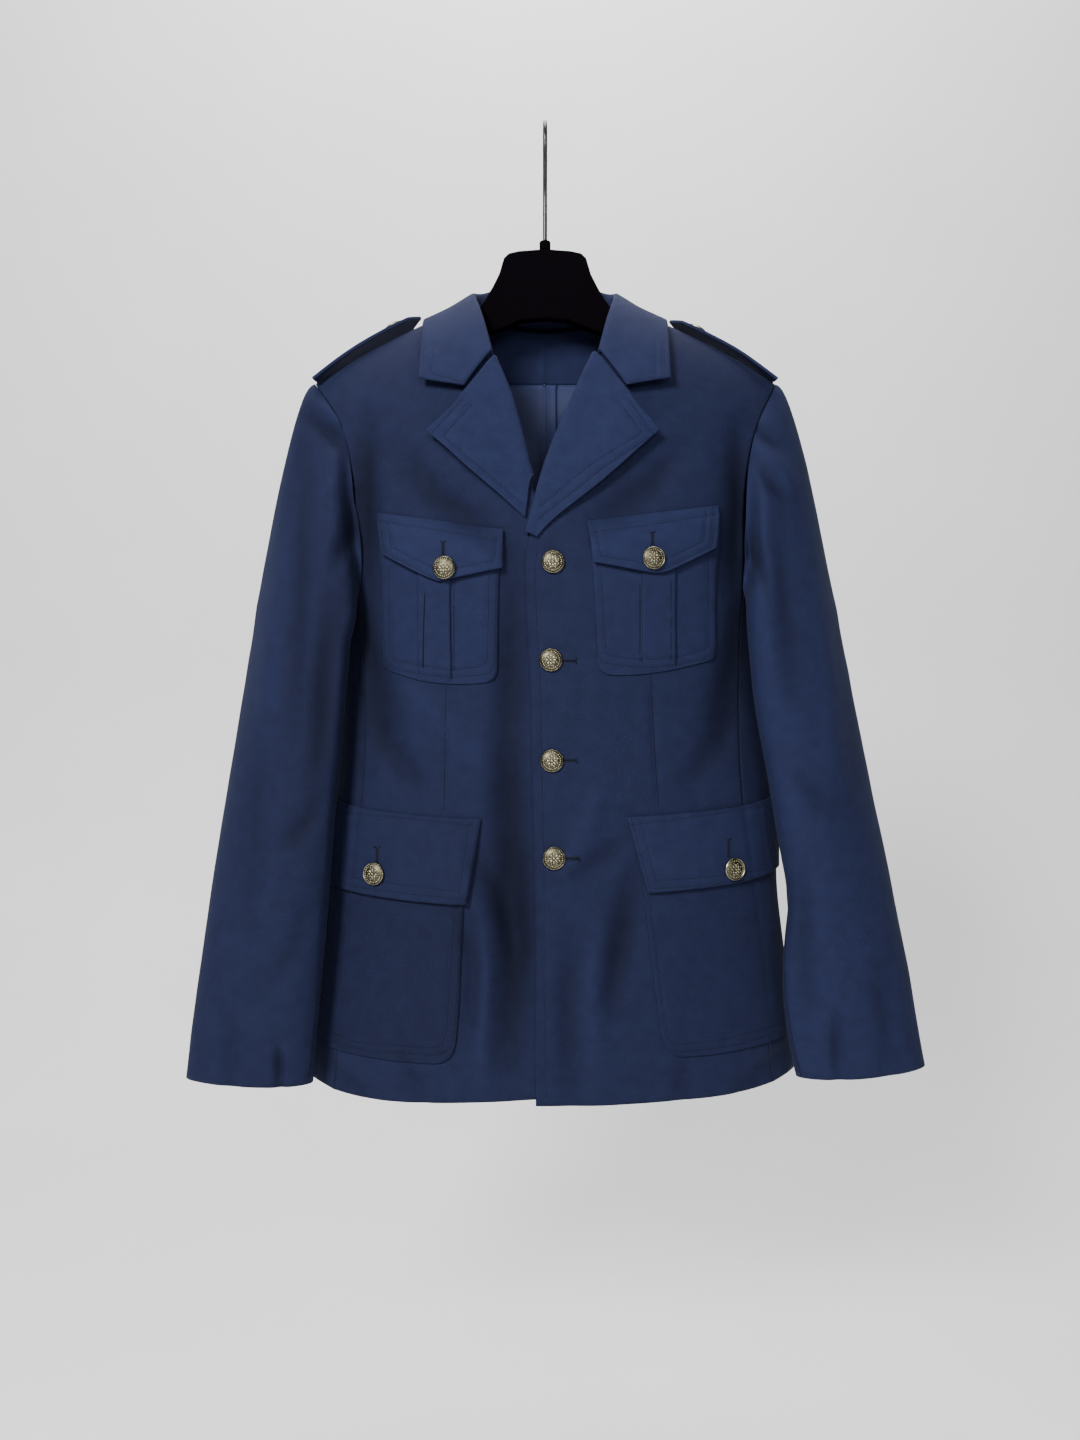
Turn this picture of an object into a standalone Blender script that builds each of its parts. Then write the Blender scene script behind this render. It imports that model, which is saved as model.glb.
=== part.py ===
"""A four-button suit jacket on a flocked hanger.

Metres, +Z up. X runs across the jacket, with the wearer's left at +X, and the front
faces -Y. The origin is the inside top of the hanger's hook.
"""
import math
from collections import namedtuple

import bpy
import bmesh
from mathutils import Vector

OBJECT_NAME = "suit_jacket"

# Cloth and seams
CLOTH = 0.0018
LINING = 0.0011
SEAM_GAP = 0.0003
SLEEVE_SEAM_GAP = 0.0006
LIFT = 0.0006
LINING_LIFT = 0.0017

# Shoulder line, from the neck point to the sleeve head
NECK_X = 0.075
NECK_Z = -0.170
TIP_X = 0.2158
TIP_Z = -0.2416
SHOULDER_ARCH = 0.015
SHOULDER_DROP = 0.120
NECK_DIP = 0.011
BACK_NECK_Z = -0.181

# Body heights
BREAK_Z = -0.400
JOIN_Z = -0.437
PIT_Z = -0.460
HEM_Z = -0.894
ROUNDNESS = 2.4
FRONT_STEP = 0.0025

# Upper rows, as shares of the way from the shoulder line to the break
UPPER_ROWS = (0.0, 0.010, 0.040, 0.10, 0.18, 0.28, 0.42, 0.60, 0.80, 1.0)
BETWEEN_ROWS = (-0.420, JOIN_Z)
LOWER_ROWS = (-0.470, -0.520, -0.580, -0.640, -0.700, -0.760, -0.820, -0.862, HEM_Z)
FRONT_COLUMNS = 10
SIDE_COLUMNS = 8
BACK_COLUMNS = (0.0, 0.12, 0.24, 0.3475, 0.50, 0.66, 0.83, 1.0)

Level = namedtuple("Level", "height side_right side_left front back")
LEVELS = (
    Level(-0.100, 0.236, 0.238, 0.060, 0.050),
    Level(-0.170, 0.236, 0.238, 0.063, 0.052),
    Level(-0.260, 0.230, 0.232, 0.069, 0.058),
    Level(-0.330, 0.213, 0.218, 0.072, 0.061),
    Level(-0.400, 0.197, 0.204, 0.073, 0.060),
    Level(-0.460, 0.186, 0.196, 0.072, 0.057),
    Level(-0.540, 0.1905, 0.2065, 0.070, 0.054),
    Level(-0.600, 0.1960, 0.2145, 0.071, 0.055),
    Level(-0.660, 0.2030, 0.2162, 0.073, 0.057),
    Level(-0.700, 0.2080, 0.2162, 0.074, 0.059),
    Level(-0.740, 0.2130, 0.2195, 0.075, 0.061),
    Level(-0.800, 0.2210, 0.2270, 0.077, 0.063),
    Level(-0.894, 0.2320, 0.2380, 0.080, 0.066),
)

Edge = namedtuple("Edge", "height over under")
EDGES = (
    Edge(-0.170, 0.0750, 0.0750),
    Edge(-0.186, 0.0665, 0.0675),
    Edge(-0.210, 0.0585, 0.0600),
    Edge(-0.235, 0.0505, 0.0530),
    Edge(-0.258, 0.0365, 0.0425),
    Edge(-0.300, 0.0185, 0.0280),
    Edge(-0.336, 0.0050, 0.0195),
    Edge(-0.363, -0.0030, 0.0090),
    Edge(-0.385, -0.0100, -0.0040),
    Edge(-0.400, -0.0168, -0.0120),
    Edge(-0.430, -0.0188, -0.0200),
    Edge(-0.480, -0.0175, -0.0220),
    Edge(-0.526, -0.0140, -0.0220),
    Edge(-0.600, -0.0122, -0.0220),
    Edge(-0.700, -0.0106, -0.0220),
    Edge(-0.894, -0.0084, -0.0220),
)

Armhole = namedtuple("Armhole", "height front_right front_left back")
ARMHOLE = (
    Armhole(TIP_Z, TIP_X, TIP_X, TIP_X),
    Armhole(-0.2590, 0.2045, 0.2080, 0.2080),
    Armhole(-0.2750, 0.1935, 0.1990, 0.2010),
    Armhole(-0.2950, 0.1830, 0.1905, 0.1940),
    Armhole(-0.3200, 0.1760, 0.1840, 0.1880),
    Armhole(-0.3550, 0.1730, 0.1818, 0.1850),
    Armhole(-0.3900, 0.1723, 0.1815, 0.1835),
    Armhole(-0.4200, 0.1732, 0.1825, 0.1810),
    Armhole(JOIN_Z, 0.1745, 0.1835, 0.1775),
)

Seam = namedtuple("Seam", "height front_right front_left back")
SEAMS = (
    Seam(JOIN_Z, 0.1745, 0.1835, 0.1775),
    Seam(-0.500, 0.1665, 0.1780, 0.1640),
    Seam(-0.600, 0.1647, 0.1766, 0.1580),
    Seam(-0.700, 0.1710, 0.1840, 0.1630),
    Seam(-0.800, 0.1800, 0.1950, 0.1710),
    Seam(HEM_Z, 0.1900, 0.2060, 0.1790),
)

Hem = namedtuple("Hem", "across over under back")
HEM = (
    Hem(0.000, -0.8940, -0.8885, -0.8850),
    Hem(0.060, -0.8938, -0.8915, -0.8845),
    Hem(0.130, -0.8918, -0.8940, -0.8830),
    Hem(0.180, -0.8888, -0.8915, -0.8800),
    Hem(0.210, -0.8830, -0.8830, -0.8775),
    Hem(0.236, -0.8765, -0.8765, -0.8765),
)

# A sleeve's rings. Outer and inner are the edges seen from the front.
Ring = namedtuple("Ring", "height outer inner middle_y half_depth slant tilt")
SLEEVE_RIGHT = (
    Ring(-0.480, 0.2779, 0.1745, -0.018, 0.051, 0.60, 0.00),
    Ring(-0.540, 0.2856, 0.1797, -0.024, 0.049, 0.60, 0.00),
    Ring(-0.594, 0.2915, 0.1835, -0.032, 0.047, 0.60, 0.00),
    Ring(-0.684, 0.3018, 0.1890, -0.045, 0.043, 0.60, 0.00),
    Ring(-0.773, 0.3112, 0.1968, -0.053, 0.037, 0.56, 0.00),
    Ring(-0.835, 0.3175, 0.2017, -0.057, 0.030, 0.52, 0.00),
    Ring(-0.877, 0.3215, 0.2054, -0.058, 0.025, 0.50, 0.01),
)
SLEEVE_LEFT = (
    Ring(-0.480, 0.2811, 0.1880, -0.018, 0.051, 0.56, 0.00),
    Ring(-0.540, 0.2901, 0.1960, -0.024, 0.049, 0.56, 0.00),
    Ring(-0.594, 0.2991, 0.2043, -0.032, 0.047, 0.58, 0.00),
    Ring(-0.684, 0.3132, 0.2120, -0.045, 0.043, 0.58, 0.00),
    Ring(-0.773, 0.3272, 0.2165, -0.053, 0.037, 0.54, 0.01),
    Ring(-0.835, 0.3349, 0.2205, -0.057, 0.030, 0.50, 0.03),
    Ring(-0.869, 0.3400, 0.2240, -0.058, 0.025, 0.48, 0.06),
)
SLEEVE_HEAD_STEPS = (0.0, 0.06, 0.16, 0.30, 0.48, 0.68, 0.86)
LOWER_ARM_ROWS = (-0.480, -0.530, -0.590, -0.650, -0.710, -0.770, -0.830)
FOREARM_ANGLE = math.radians(150)
HIND_ARM_ANGLE = math.radians(212)

# How far each part of the armhole puffs: the angle from straight out to the loop's side
Puff = namedtuple("Puff", "turn angle reach")
PUFFS = (
    Puff(0.00, 2, 0.022),
    Puff(0.18, 24, 0.020),
    Puff(0.32, 48, 0.014),
    Puff(0.50, 72, 0.008),
    Puff(0.68, 48, 0.014),
    Puff(0.82, 28, 0.020),
    Puff(1.00, 2, 0.022),
)

# The sleeves' largest folds: a soft trough each, with its turn round the sleeve in degrees
Fold = namedtuple("Fold", "side turn height lean half_length half_width depth")
SLEEVE_FOLDS = (
    Fold(-1, 62, -0.298, -35, 0.030, 0.011, 0.0040),
    Fold(-1, 118, -0.392, 8, 0.034, 0.013, 0.0045),
    Fold(-1, 35, -0.345, 4, 0.070, 0.012, 0.0020),
    Fold(1, 88, -0.296, 30, 0.022, 0.010, 0.0030),
    Fold(1, 104, -0.338, 24, 0.024, 0.012, 0.0038),
    Fold(1, 122, -0.405, 10, 0.030, 0.012, 0.0045),
    Fold(-1, 285, -0.320, 30, 0.040, 0.014, 0.0035),
    Fold(1, 285, -0.335, -28, 0.040, 0.014, 0.0035),
)
FOLD_GIRTH = 0.052

# Collar, half of it, from the middle of the back to the front end
Collar = namedtuple("Collar", "fold_x fold_y fold_z mid_x mid_y mid_z edge_x edge_y edge_z foot_x foot_z")
COLLAR = (
    Collar(0.0000, 0.0390, -0.1420, 0.0000, 0.0450, -0.168, 0.0000, 0.050, -0.195, 0.0000, -0.1790),
    Collar(0.0250, 0.0345, -0.1430, 0.0300, 0.0410, -0.169, 0.0340, 0.050, -0.198, 0.0240, -0.1775),
    Collar(0.0470, 0.0265, -0.1465, 0.0560, 0.0320, -0.171, 0.0680, 0.044, -0.200, 0.0450, -0.1735),
    Collar(0.0615, 0.0140, -0.1525, 0.0770, 0.0180, -0.171, 0.0960, 0.024, -0.196, 0.0605, -0.1690),
    Collar(0.0650, 0.0065, -0.1550, 0.0830, 0.0090, -0.170, 0.1040, 0.012, -0.191, 0.0660, -0.1672),
    Collar(0.0665, -0.0020, -0.1575, 0.0860, 0.0000, -0.170, 0.1075, 0.000, -0.190, 0.0700, -0.1664),
    Collar(0.0650, -0.0170, -0.1660, 0.0870, -0.0200, -0.179, 0.1085, -0.018, -0.198, 0.0690, -0.1740),
    Collar(0.0590, -0.0390, -0.1860, 0.0845, -0.0400, -0.202, 0.1095, -0.040, -0.221, 0.0630, -0.1900),
    Collar(0.0525, -0.0530, -0.2090, 0.0795, -0.0500, -0.229, 0.1100, -0.045, -0.242, 0.0560, -0.2120),
    Collar(0.0475, -0.0620, -0.2310, 0.0710, -0.0550, -0.2645, 0.1105, -0.048, -0.2570, 0.0505, -0.2340),
)

COLLAR_LIFT = 0.0030
COLLAR_EDGE_LIFT = 0.0020
COLLAR_FOOT_IN = 0.0012
COLLAR_FOLD = 0.0022

# Lapels: a row runs from the roll line to the outer edge, and the first follows the top edge
Lapel = namedtuple("Lapel", "roll_x roll_z bend_x bend_z edge_x edge_z")
LAPEL_RIGHT = (
    Lapel(0.0465, -0.2375, 0.0686, -0.2766, 0.1045, -0.3038),
    Lapel(0.0395, -0.2550, 0.0670, -0.2845, 0.0965, -0.3107),
    Lapel(0.0330, -0.2720, 0.0600, -0.2965, 0.0880, -0.3180),
    Lapel(0.0285, -0.2873, 0.0535, -0.3085, 0.0770, -0.3280),
    Lapel(0.0243, -0.3015, 0.0460, -0.3200, 0.0660, -0.3380),
    Lapel(0.0185, -0.3270, 0.0320, -0.3400, 0.0440, -0.3560),
    Lapel(0.0152, -0.3380, 0.0235, -0.3530, 0.0300, -0.3690),
    Lapel(0.0136, -0.3440, 0.0152, -0.3620, 0.0180, -0.3800),
)
LAPEL_LEFT = (
    Lapel(0.0445, -0.2345, 0.0693, -0.2712, 0.1000, -0.3030),
    Lapel(0.0375, -0.2500, 0.0645, -0.2805, 0.0920, -0.3100),
    Lapel(0.0300, -0.2665, 0.0570, -0.2925, 0.0840, -0.3170),
    Lapel(0.0229, -0.2830, 0.0470, -0.3065, 0.0720, -0.3280),
    Lapel(0.0113, -0.3109, 0.0360, -0.3280, 0.0590, -0.3400),
    Lapel(0.0015, -0.3364, 0.0200, -0.3480, 0.0370, -0.3590),
    Lapel(-0.0058, -0.3620, 0.0048, -0.3684, 0.0148, -0.3742),
    Lapel(-0.0110, -0.3822, -0.0050, -0.3850, 0.0002, -0.3872),
    Lapel(-0.0147, -0.3937, -0.0117, -0.3955, -0.0078, -0.3971),
)

# Across a lapel: how far along, how far in from the roll line, how high it stands,
# and how much its face turns towards the roll
Station = namedtuple("Station", "along inward roll_share lift bow turn")
LAPEL_PROFILE = (
    Station(0.00, -0.0022, 0.00, 0.0, 0.0, 0.85),
    Station(0.00, -0.0034, 0.45, 0.0004, 0.0, 0.60),
    Station(0.00, -0.0016, 1.00, 0.0004, 0.0, 0.25),
    Station(0.16, 0.0, 0.95, 0.0004, 1.0, 0.0),
    Station(0.42, 0.0, 0.70, 0.0004, 1.0, 0.0),
    Station(0.70, 0.0, 0.45, 0.0004, 1.0, 0.0),
    Station(0.90, 0.0, 0.00, 0.0013, 1.0, 0.0),
    Station(1.00, 0.0, 0.00, 0.0011, 0.0, 0.0),
)
LAPEL_ROLL = 0.0042
LAPEL_ROLL_SHARE = 0.12
LAPEL_LEAST_ROLL = 0.0012

# Flat pieces on the body, in the order outer top, inner top, outer foot, inner foot
Patch = namedtuple("Patch", "side top_outer top_inner foot_outer foot_inner point round_off")
CHEST_POCKETS = {
    "chest_pocket_right": Patch(-1, (0.1520, -0.3910), (0.0400, -0.4090), (0.1505, -0.5140),
                                (0.0425, -0.5250), (0.0870, -0.5245), 0.011),
    "chest_pocket_left": Patch(1, (0.1585, -0.3860), (0.0395, -0.4015), (0.1570, -0.5050),
                               (0.0455, -0.5180), (0.0860, -0.5150), 0.011),
}
CHEST_FLAPS = {
    "chest_flap_right": Patch(-1, (0.1530, -0.3720), (0.0365, -0.3905), (0.1465, -0.4090),
                              (0.0370, -0.4245), (0.0940, -0.4360), 0.0),
    "chest_flap_left": Patch(1, (0.1570, -0.3665), (0.0360, -0.3830), (0.1535, -0.4045),
                             (0.0415, -0.4190), (0.1000, -0.4290), 0.0),
}
PLEAT_RIGHT = (0.0830, 0.1105)
PLEAT_LEFT = (0.0850, 0.1135)
PLEAT_RAISE = 0.0022

# Hip pieces wrap towards the side, so their outer ends are angles round the body
HipPatch = namedtuple("HipPatch", "side inner_top inner_foot outer_top outer_foot turn round_off")
HIP_POCKETS = {
    "hip_pocket_right": HipPatch(-1, (0.0680, -0.6670), (0.0790, -0.8590), -0.6540, -0.8480, 76, 0.017),
    "hip_pocket_left": HipPatch(1, (0.0800, -0.6640), (0.1040, -0.8540), -0.6480, -0.8440, 78, 0.017),
}
HIP_FLAPS = {
    "hip_flap_right": HipPatch(-1, (0.0560, -0.6450), (0.0685, -0.7190), -0.6290, -0.7030, 77, 0.0),
    "hip_flap_left": HipPatch(1, (0.0715, -0.6430), (0.0895, -0.7090), -0.6250, -0.6920, 79, 0.0),
}
POCKET_CLOTH = 0.0014
FLAP_CLOTH = 0.0016
CHEST_FLAP_LIFT = 0.0046
HIP_LIFT = 0.0009
HIP_FLAP_LIFT = 0.0029

# Shoulder straps
STRAP_IN = 0.1165
STRAP_OUT = 0.2140
STRAP_HALF = 0.021
STRAP_NECK_HALF = 0.015
STRAP_POINT = 0.010
STRAP_RISE = {-1: 0.0065, 1: 0.0035}
STRAP_CLOTH = 0.0024
STRAP_LIFT = 0.0013
STRAP_SPRING = 0.070
STRAP_FOLLOW = 0.30
STRAP_BUTTON_X = 0.1400
STRAP_ROWS = (0.0, 0.12, 0.30, 0.50, 0.70, 0.88, 1.0)

# Buttons
BUTTON_R = 0.01015
BUTTON_RIM = 0.0013
BUTTON_DOME = 0.0042
BUTTON_STEM = 0.0035
Button = namedtuple("Button", "x y z lift")
BUTTONS = {
    "button_front_1": Button(0.0065, -0.07, -0.4185, 0.0),
    "button_front_2": Button(0.0048, -0.07, -0.5048, 0.0),
    "button_front_3": Button(0.0055, -0.07, -0.5932, 0.0),
    "button_front_4": Button(0.0072, -0.07, -0.6790, 0.0),
    "button_chest_right": Button(-0.0860, -0.06, -0.4240, 0.0067),
    "button_chest_left": Button(0.0925, -0.06, -0.4150, 0.0067),
    "button_hip_right": Button(-0.1485, -0.05, -0.6940, 0.0049),
    "button_hip_left": Button(0.1660, -0.05, -0.6900, 0.0049),
}

# Neck facing and lining, on the inside of the back
FACING_FOOT_Z = -0.2275
LINING_FOOT_Z = -0.455
LINING_HALF = 0.118
LINING_PLEAT = (0.0022, 0.0107)

# Hanger
WIRE_R = 0.0020
HOOK_R = 0.0210
ROD_R = 0.0190
FERRULE_R = 0.0052
FERRULE_TOP = -0.1080
PLATE_TOP = -0.1165
HANGER_HALF_THICK = 0.0060
HANGER_BEVEL = 0.0018
HANGER_REACH = 0.188
HANGER_ARM = 0.026
HANGER_ROUND = 0.006
HANGER_DROP = 0.0037
# The neck plate's outline, then the arch under it, both across and up
HANGER_NECK = (
    (0.0000, PLATE_TOP), (0.0240, -0.1183), (0.0340, -0.1205), (0.0385, -0.1250),
    (0.0430, -0.1400), (0.0490, -0.1520), (0.0560, -0.1640), (0.0620, -0.1720),
)
HANGER_ARM_XS = (0.078, 0.100, 0.130, 0.160, 0.182)
HANGER_ARCH = ((0.0470, -0.1938), (0.0218, -0.1832), (0.0, -0.1816))

# The hook's way from its open end into the middle, in depth and height
HOOK_TURN = (-200, 16, 12)
HOOK_NECK = ((-0.0165, -0.0345), (-0.0095, -0.0450), (-0.0030, -0.0560), (0.0, -0.0680))

# Colours: red, green, blue, roughness, metallic
NAVY = (0.018, 0.026, 0.062, 0.85, 0.0)
LINING_BLUE = (0.020, 0.030, 0.070, 0.55, 0.0)
VELVET = (0.003, 0.002, 0.004, 0.95, 0.0)
WIRE_STEEL = (0.05, 0.05, 0.055, 0.35, 1.0)
PALE_BRASS = (0.42, 0.38, 0.25, 0.38, 1.0)


def read(table, key, column):
    """Return a column of a table at a key, along a smooth curve through its rows."""
    rows = sorted(table, key=lambda row: row[0])
    keys = [row[0] for row in rows]
    values = [getattr(row, column) for row in rows]
    if key <= keys[0]:
        return values[0]
    if key >= keys[-1]:
        return values[-1]
    place = max(index for index, at in enumerate(keys) if at <= key)

    def slope(index):
        low = max(index - 1, 0)
        high = min(index + 1, len(keys) - 1)
        return (values[high] - values[low]) / (keys[high] - keys[low])

    width = keys[place + 1] - keys[place]
    t = (key - keys[place]) / width
    start = values[place] * (2 * t ** 3 - 3 * t ** 2 + 1)
    end = values[place + 1] * (3 * t ** 2 - 2 * t ** 3)
    turn_in = slope(place) * width * (t ** 3 - 2 * t ** 2 + t)
    turn_out = slope(place + 1) * width * (t ** 3 - t ** 2)
    return start + end + turn_in + turn_out


def mix(start, end, share):
    """Return the value that lies a share of the way between two."""
    return start + (end - start) * share


def smooth_step(low, high, value):
    """Return 0 below low and 1 above high, with an even rise between them."""
    t = min(max((value - low) / (high - low), 0.0), 1.0)
    return t * t * (3 - 2 * t)


def side_name(x):
    """Return the wearer's side that an x lies on."""
    return "left" if x > 0 else "right"


def ridge_height(x):
    """Return the height of the shoulder line."""
    share = (abs(x) - NECK_X) / (TIP_X - NECK_X)
    return mix(NECK_Z, TIP_Z, share) + SHOULDER_ARCH * share * (1 - share)


def body_gap(point):
    """Return a number that is 0 on the body's outer surface and more outside it."""
    width = read(LEVELS, point.z, "side_" + side_name(point.x))
    depth = read(LEVELS, point.z, "front" if point.y < 0 else "back")
    fall = min((ridge_height(point.x) - point.z) / SHOULDER_DROP, 1.0)
    across = 1 - (abs(point.x) / width) ** ROUNDNESS
    down = 1 - (1 - fall) ** 2
    return (point.y / depth) ** 2 - across * down


def body_slope(point):
    """Return the gradient of body_gap."""
    step = 0.0002
    parts = []
    for axis in range(3):
        ahead = point.copy()
        behind = point.copy()
        ahead[axis] += step
        behind[axis] -= step
        parts.append((body_gap(ahead) - body_gap(behind)) / (2 * step))
    return Vector(parts)


def body_normal(point):
    """Return the outward direction of the body's surface near a point."""
    return body_slope(point).normalized()


def lay(x, y, z, lift):
    """Put a point on the body's surface, then move it out by a lift."""
    point = Vector((x, y, z))
    for _ in range(8):
        slope = body_slope(point)
        point -= slope * (body_gap(point) / slope.length_squared)
    return point + body_normal(point) * lift


def body_point(x, z, back=False):
    """Return the surface point straight in front of, or behind, a place across and up."""
    width = read(LEVELS, z, "side_" + side_name(x))
    depth = read(LEVELS, z, "back" if back else "front")
    fall = min(max((ridge_height(x) - z) / SHOULDER_DROP, 0.0), 1.0)
    across = max(1 - (abs(x) / width) ** ROUNDNESS, 0.0)
    down = 1 - (1 - fall) ** 2
    y = depth * math.sqrt(across * down)
    return Vector((x, y if back else -y, z))


def body_turn_point(side, turn, z):
    """Return the surface point at an angle round the body: 0 in front, 180 behind."""
    width = read(LEVELS, z, "side_left" if side > 0 else "side_right")
    depth = read(LEVELS, z, "front" if turn < 90 else "back")
    angle = math.radians(turn)
    x = side * width * abs(math.sin(angle)) ** (2 / ROUNDNESS)
    return Vector((x, -depth * math.cos(angle), z))


def turn_at(side, across, z):
    """Return the angle round the body, in degrees, of a place on its front half."""
    width = read(LEVELS, z, "side_left" if side > 0 else "side_right")
    return math.degrees(math.asin(min(across / width, 1.0) ** (ROUNDNESS / 2)))


def under_step(point):
    """Return how far the lower front is set back where the other front laps over it."""
    return FRONT_STEP * smooth_step(-0.045, -0.024, point.x) * smooth_step(-0.325, -0.350, point.z)


def hem_height(side, across, back=False):
    """Return the height of the hem."""
    column = "back" if back else ("over" if side > 0 else "under")
    return read(HEM, abs(across), column)


def make_material(name, finish):
    """Return a material of one colour, roughness and metallic value."""
    material = bpy.data.materials.new(name)
    material.use_nodes = True
    shader = material.node_tree.nodes["Principled BSDF"]
    shader.inputs["Base Color"].default_value = (*finish[:3], 1.0)
    shader.inputs["Roughness"].default_value = finish[3]
    shader.inputs["Metallic"].default_value = finish[4]
    return material


def add_object(name, data, finish):
    """Link a mesh or curve as a named object of the jacket's collection."""
    made = bpy.data.objects.new(name, data)
    bpy.data.collections[OBJECT_NAME].objects.link(made)
    data.materials.append(make_material(name, finish))
    return made


def sheet_faces(rows, columns):
    """Return the quads of a grid of points that is numbered row by row."""
    quads = []
    for row in range(rows - 1):
        for column in range(columns - 1):
            corner = row * columns + column
            quads.append((corner, corner + 1, corner + columns + 1, corner + columns))
    return quads


def mesh_from(name, points, quads):
    """Return a smooth-shaded mesh of points and faces."""
    mesh = bpy.data.meshes.new(name)
    mesh.from_pydata([tuple(point) for point in points], [], quads)
    mesh.shade_smooth()
    return mesh


def trim_seam(line, inner_line, gap=SEAM_GAP):
    """Move a line of points half a seam gap towards the next line."""
    moved = []
    for point, inner in zip(line, inner_line):
        moved.append(point + (inner - point).normalized() * (gap / 2))
    return moved


def cloth_wall(name, grid, normals, thick, finish):
    """Loft a closed wall between an outer grid of points and its copy moved inwards."""
    rows = len(grid)
    columns = len(grid[0])
    outer = [point for row in grid for point in row]
    inner = [
        point - normal * thick
        for row, normal_row in zip(grid, normals)
        for point, normal in zip(row, normal_row)
    ]
    size = rows * columns
    quads = sheet_faces(rows, columns)
    quads += [tuple(reversed([index + size for index in quad])) for quad in sheet_faces(rows, columns)]
    rim = list(range(columns))
    rim += [row * columns + columns - 1 for row in range(1, rows)]
    rim += list(range(size - 2, size - columns - 1, -1))
    rim += [row * columns for row in range(rows - 2, 0, -1)]
    for here, there in zip(rim, rim[1:] + rim[:1]):
        quads.append((there, here, here + size, there + size))
    mesh = mesh_from(name, outer + inner, quads)
    tidy = bmesh.new()
    tidy.from_mesh(mesh)
    bmesh.ops.recalc_face_normals(tidy, faces=tidy.faces)
    tidy.to_mesh(mesh)
    tidy.free()
    return add_object(name, mesh, finish)


def laid_sheet(name, grid, thick, finish, facing):
    """Make an open sheet of points and thicken it on the side that it faces."""
    mesh = mesh_from(name, [point for row in grid for point in row], sheet_faces(len(grid), len(grid[0])))
    whole = Vector((0, 0, 0))
    for polygon in mesh.polygons:
        whole += polygon.normal * polygon.area
    if whole.dot(Vector(facing)) < 0:
        mesh.flip_normals()
    made = add_object(name, mesh, finish)
    wall = made.modifiers.new("Solidify", "SOLIDIFY")
    wall.thickness = thick
    wall.offset = 1.0
    return made


def upper_body_row(side, share, columns, inner_x, top_z, outer_x, back):
    """Return one row of a panel between the shoulder line and the break."""
    row = []
    for column in columns:
        x = side * mix(inner_x, outer_x, column)
        z = mix(top_z(column), BREAK_Z, share)
        row.append(body_point(x, z, back))
    return row


def make_front(side):
    """Make one front, from the hem to the shoulder seam."""
    name = "front_left" if side > 0 else "front_right"
    edge = "over" if side > 0 else "under"
    reach = "front_left" if side > 0 else "front_right"
    columns = [index / FRONT_COLUMNS for index in range(FRONT_COLUMNS + 1)]

    def shoulder(column):
        return ridge_height(mix(NECK_X, TIP_X, column))

    grid = []
    for share in UPPER_ROWS:
        inner_x = read(EDGES, mix(NECK_Z, BREAK_Z, share), edge)
        outer_x = read(ARMHOLE, mix(TIP_Z, BREAK_Z, share), reach)
        grid.append(upper_body_row(side, share, columns, inner_x, shoulder, outer_x, False))
    for level in BETWEEN_ROWS + LOWER_ROWS:
        share = (level - BREAK_Z) / (HEM_Z - BREAK_Z)
        inner_x = read(EDGES, level, edge)
        outer_x = read(ARMHOLE if level > JOIN_Z else SEAMS, level, reach)
        row = []
        for column in columns:
            x = side * mix(inner_x, outer_x, column)
            z = level + (hem_height(side, x) - HEM_Z) * share ** 3
            row.append(body_point(x, z))
        grid.append(row)
    if side < 0:
        for row in grid:
            for point in row:
                point.y += under_step(point)
    normals = [[body_normal(point) for point in row] for row in grid]
    grid[0] = trim_seam(grid[0], grid[1])
    first_seam_row = len(UPPER_ROWS) + 1
    for row in grid[first_seam_row:]:
        row[-1] = trim_seam([row[-1]], [row[-2]])[0]
    cloth_wall(name, grid, normals, CLOTH, NAVY)


def make_back(side):
    """Make one back, from the hem to the shoulder seam and the neck."""
    name = "back_left" if side > 0 else "back_right"

    def top(column):
        x = mix(0.0, TIP_X, column)
        if x < NECK_X:
            return BACK_NECK_Z + NECK_DIP * (x / NECK_X) ** 2
        return ridge_height(x)

    grid = []
    for share in UPPER_ROWS:
        outer_x = read(ARMHOLE, mix(TIP_Z, BREAK_Z, share), "back")
        grid.append(upper_body_row(side, share, BACK_COLUMNS, 0.0, top, outer_x, True))
    for level in BETWEEN_ROWS + LOWER_ROWS:
        share = (level - BREAK_Z) / (HEM_Z - BREAK_Z)
        outer_x = read(ARMHOLE if level > JOIN_Z else SEAMS, level, "back")
        row = []
        for column in BACK_COLUMNS:
            x = side * outer_x * column
            z = level + (hem_height(side, x, True) - HEM_Z) * share ** 3
            row.append(body_point(x, z, True))
        grid.append(row)
    normals = [[body_normal(point) for point in row] for row in grid]
    grid[0] = trim_seam(grid[0], grid[1])
    for index, row in enumerate(grid):
        row[0] = trim_seam([row[0]], [row[1]])[0]
        if index > len(UPPER_ROWS):
            row[-1] = trim_seam([row[-1]], [row[-2]])[0]
    cloth_wall(name, grid, normals, CLOTH, NAVY)


def underarm_points(side):
    """Return the armhole's lower points, from the front's seam to the back's."""
    front = turn_at(side, read(SEAMS, JOIN_Z, "front_left" if side > 0 else "front_right"), JOIN_Z)
    back = 180 - turn_at(side, read(SEAMS, JOIN_Z, "back"), JOIN_Z)
    points = []
    for index in range(SIDE_COLUMNS + 1):
        turn = mix(front, back, index / SIDE_COLUMNS)
        far = (90 - turn) / (90 - front) if turn < 90 else (turn - 90) / (back - 90)
        points.append((turn, mix(PIT_Z, JOIN_Z, far ** 2)))
    return points


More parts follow.
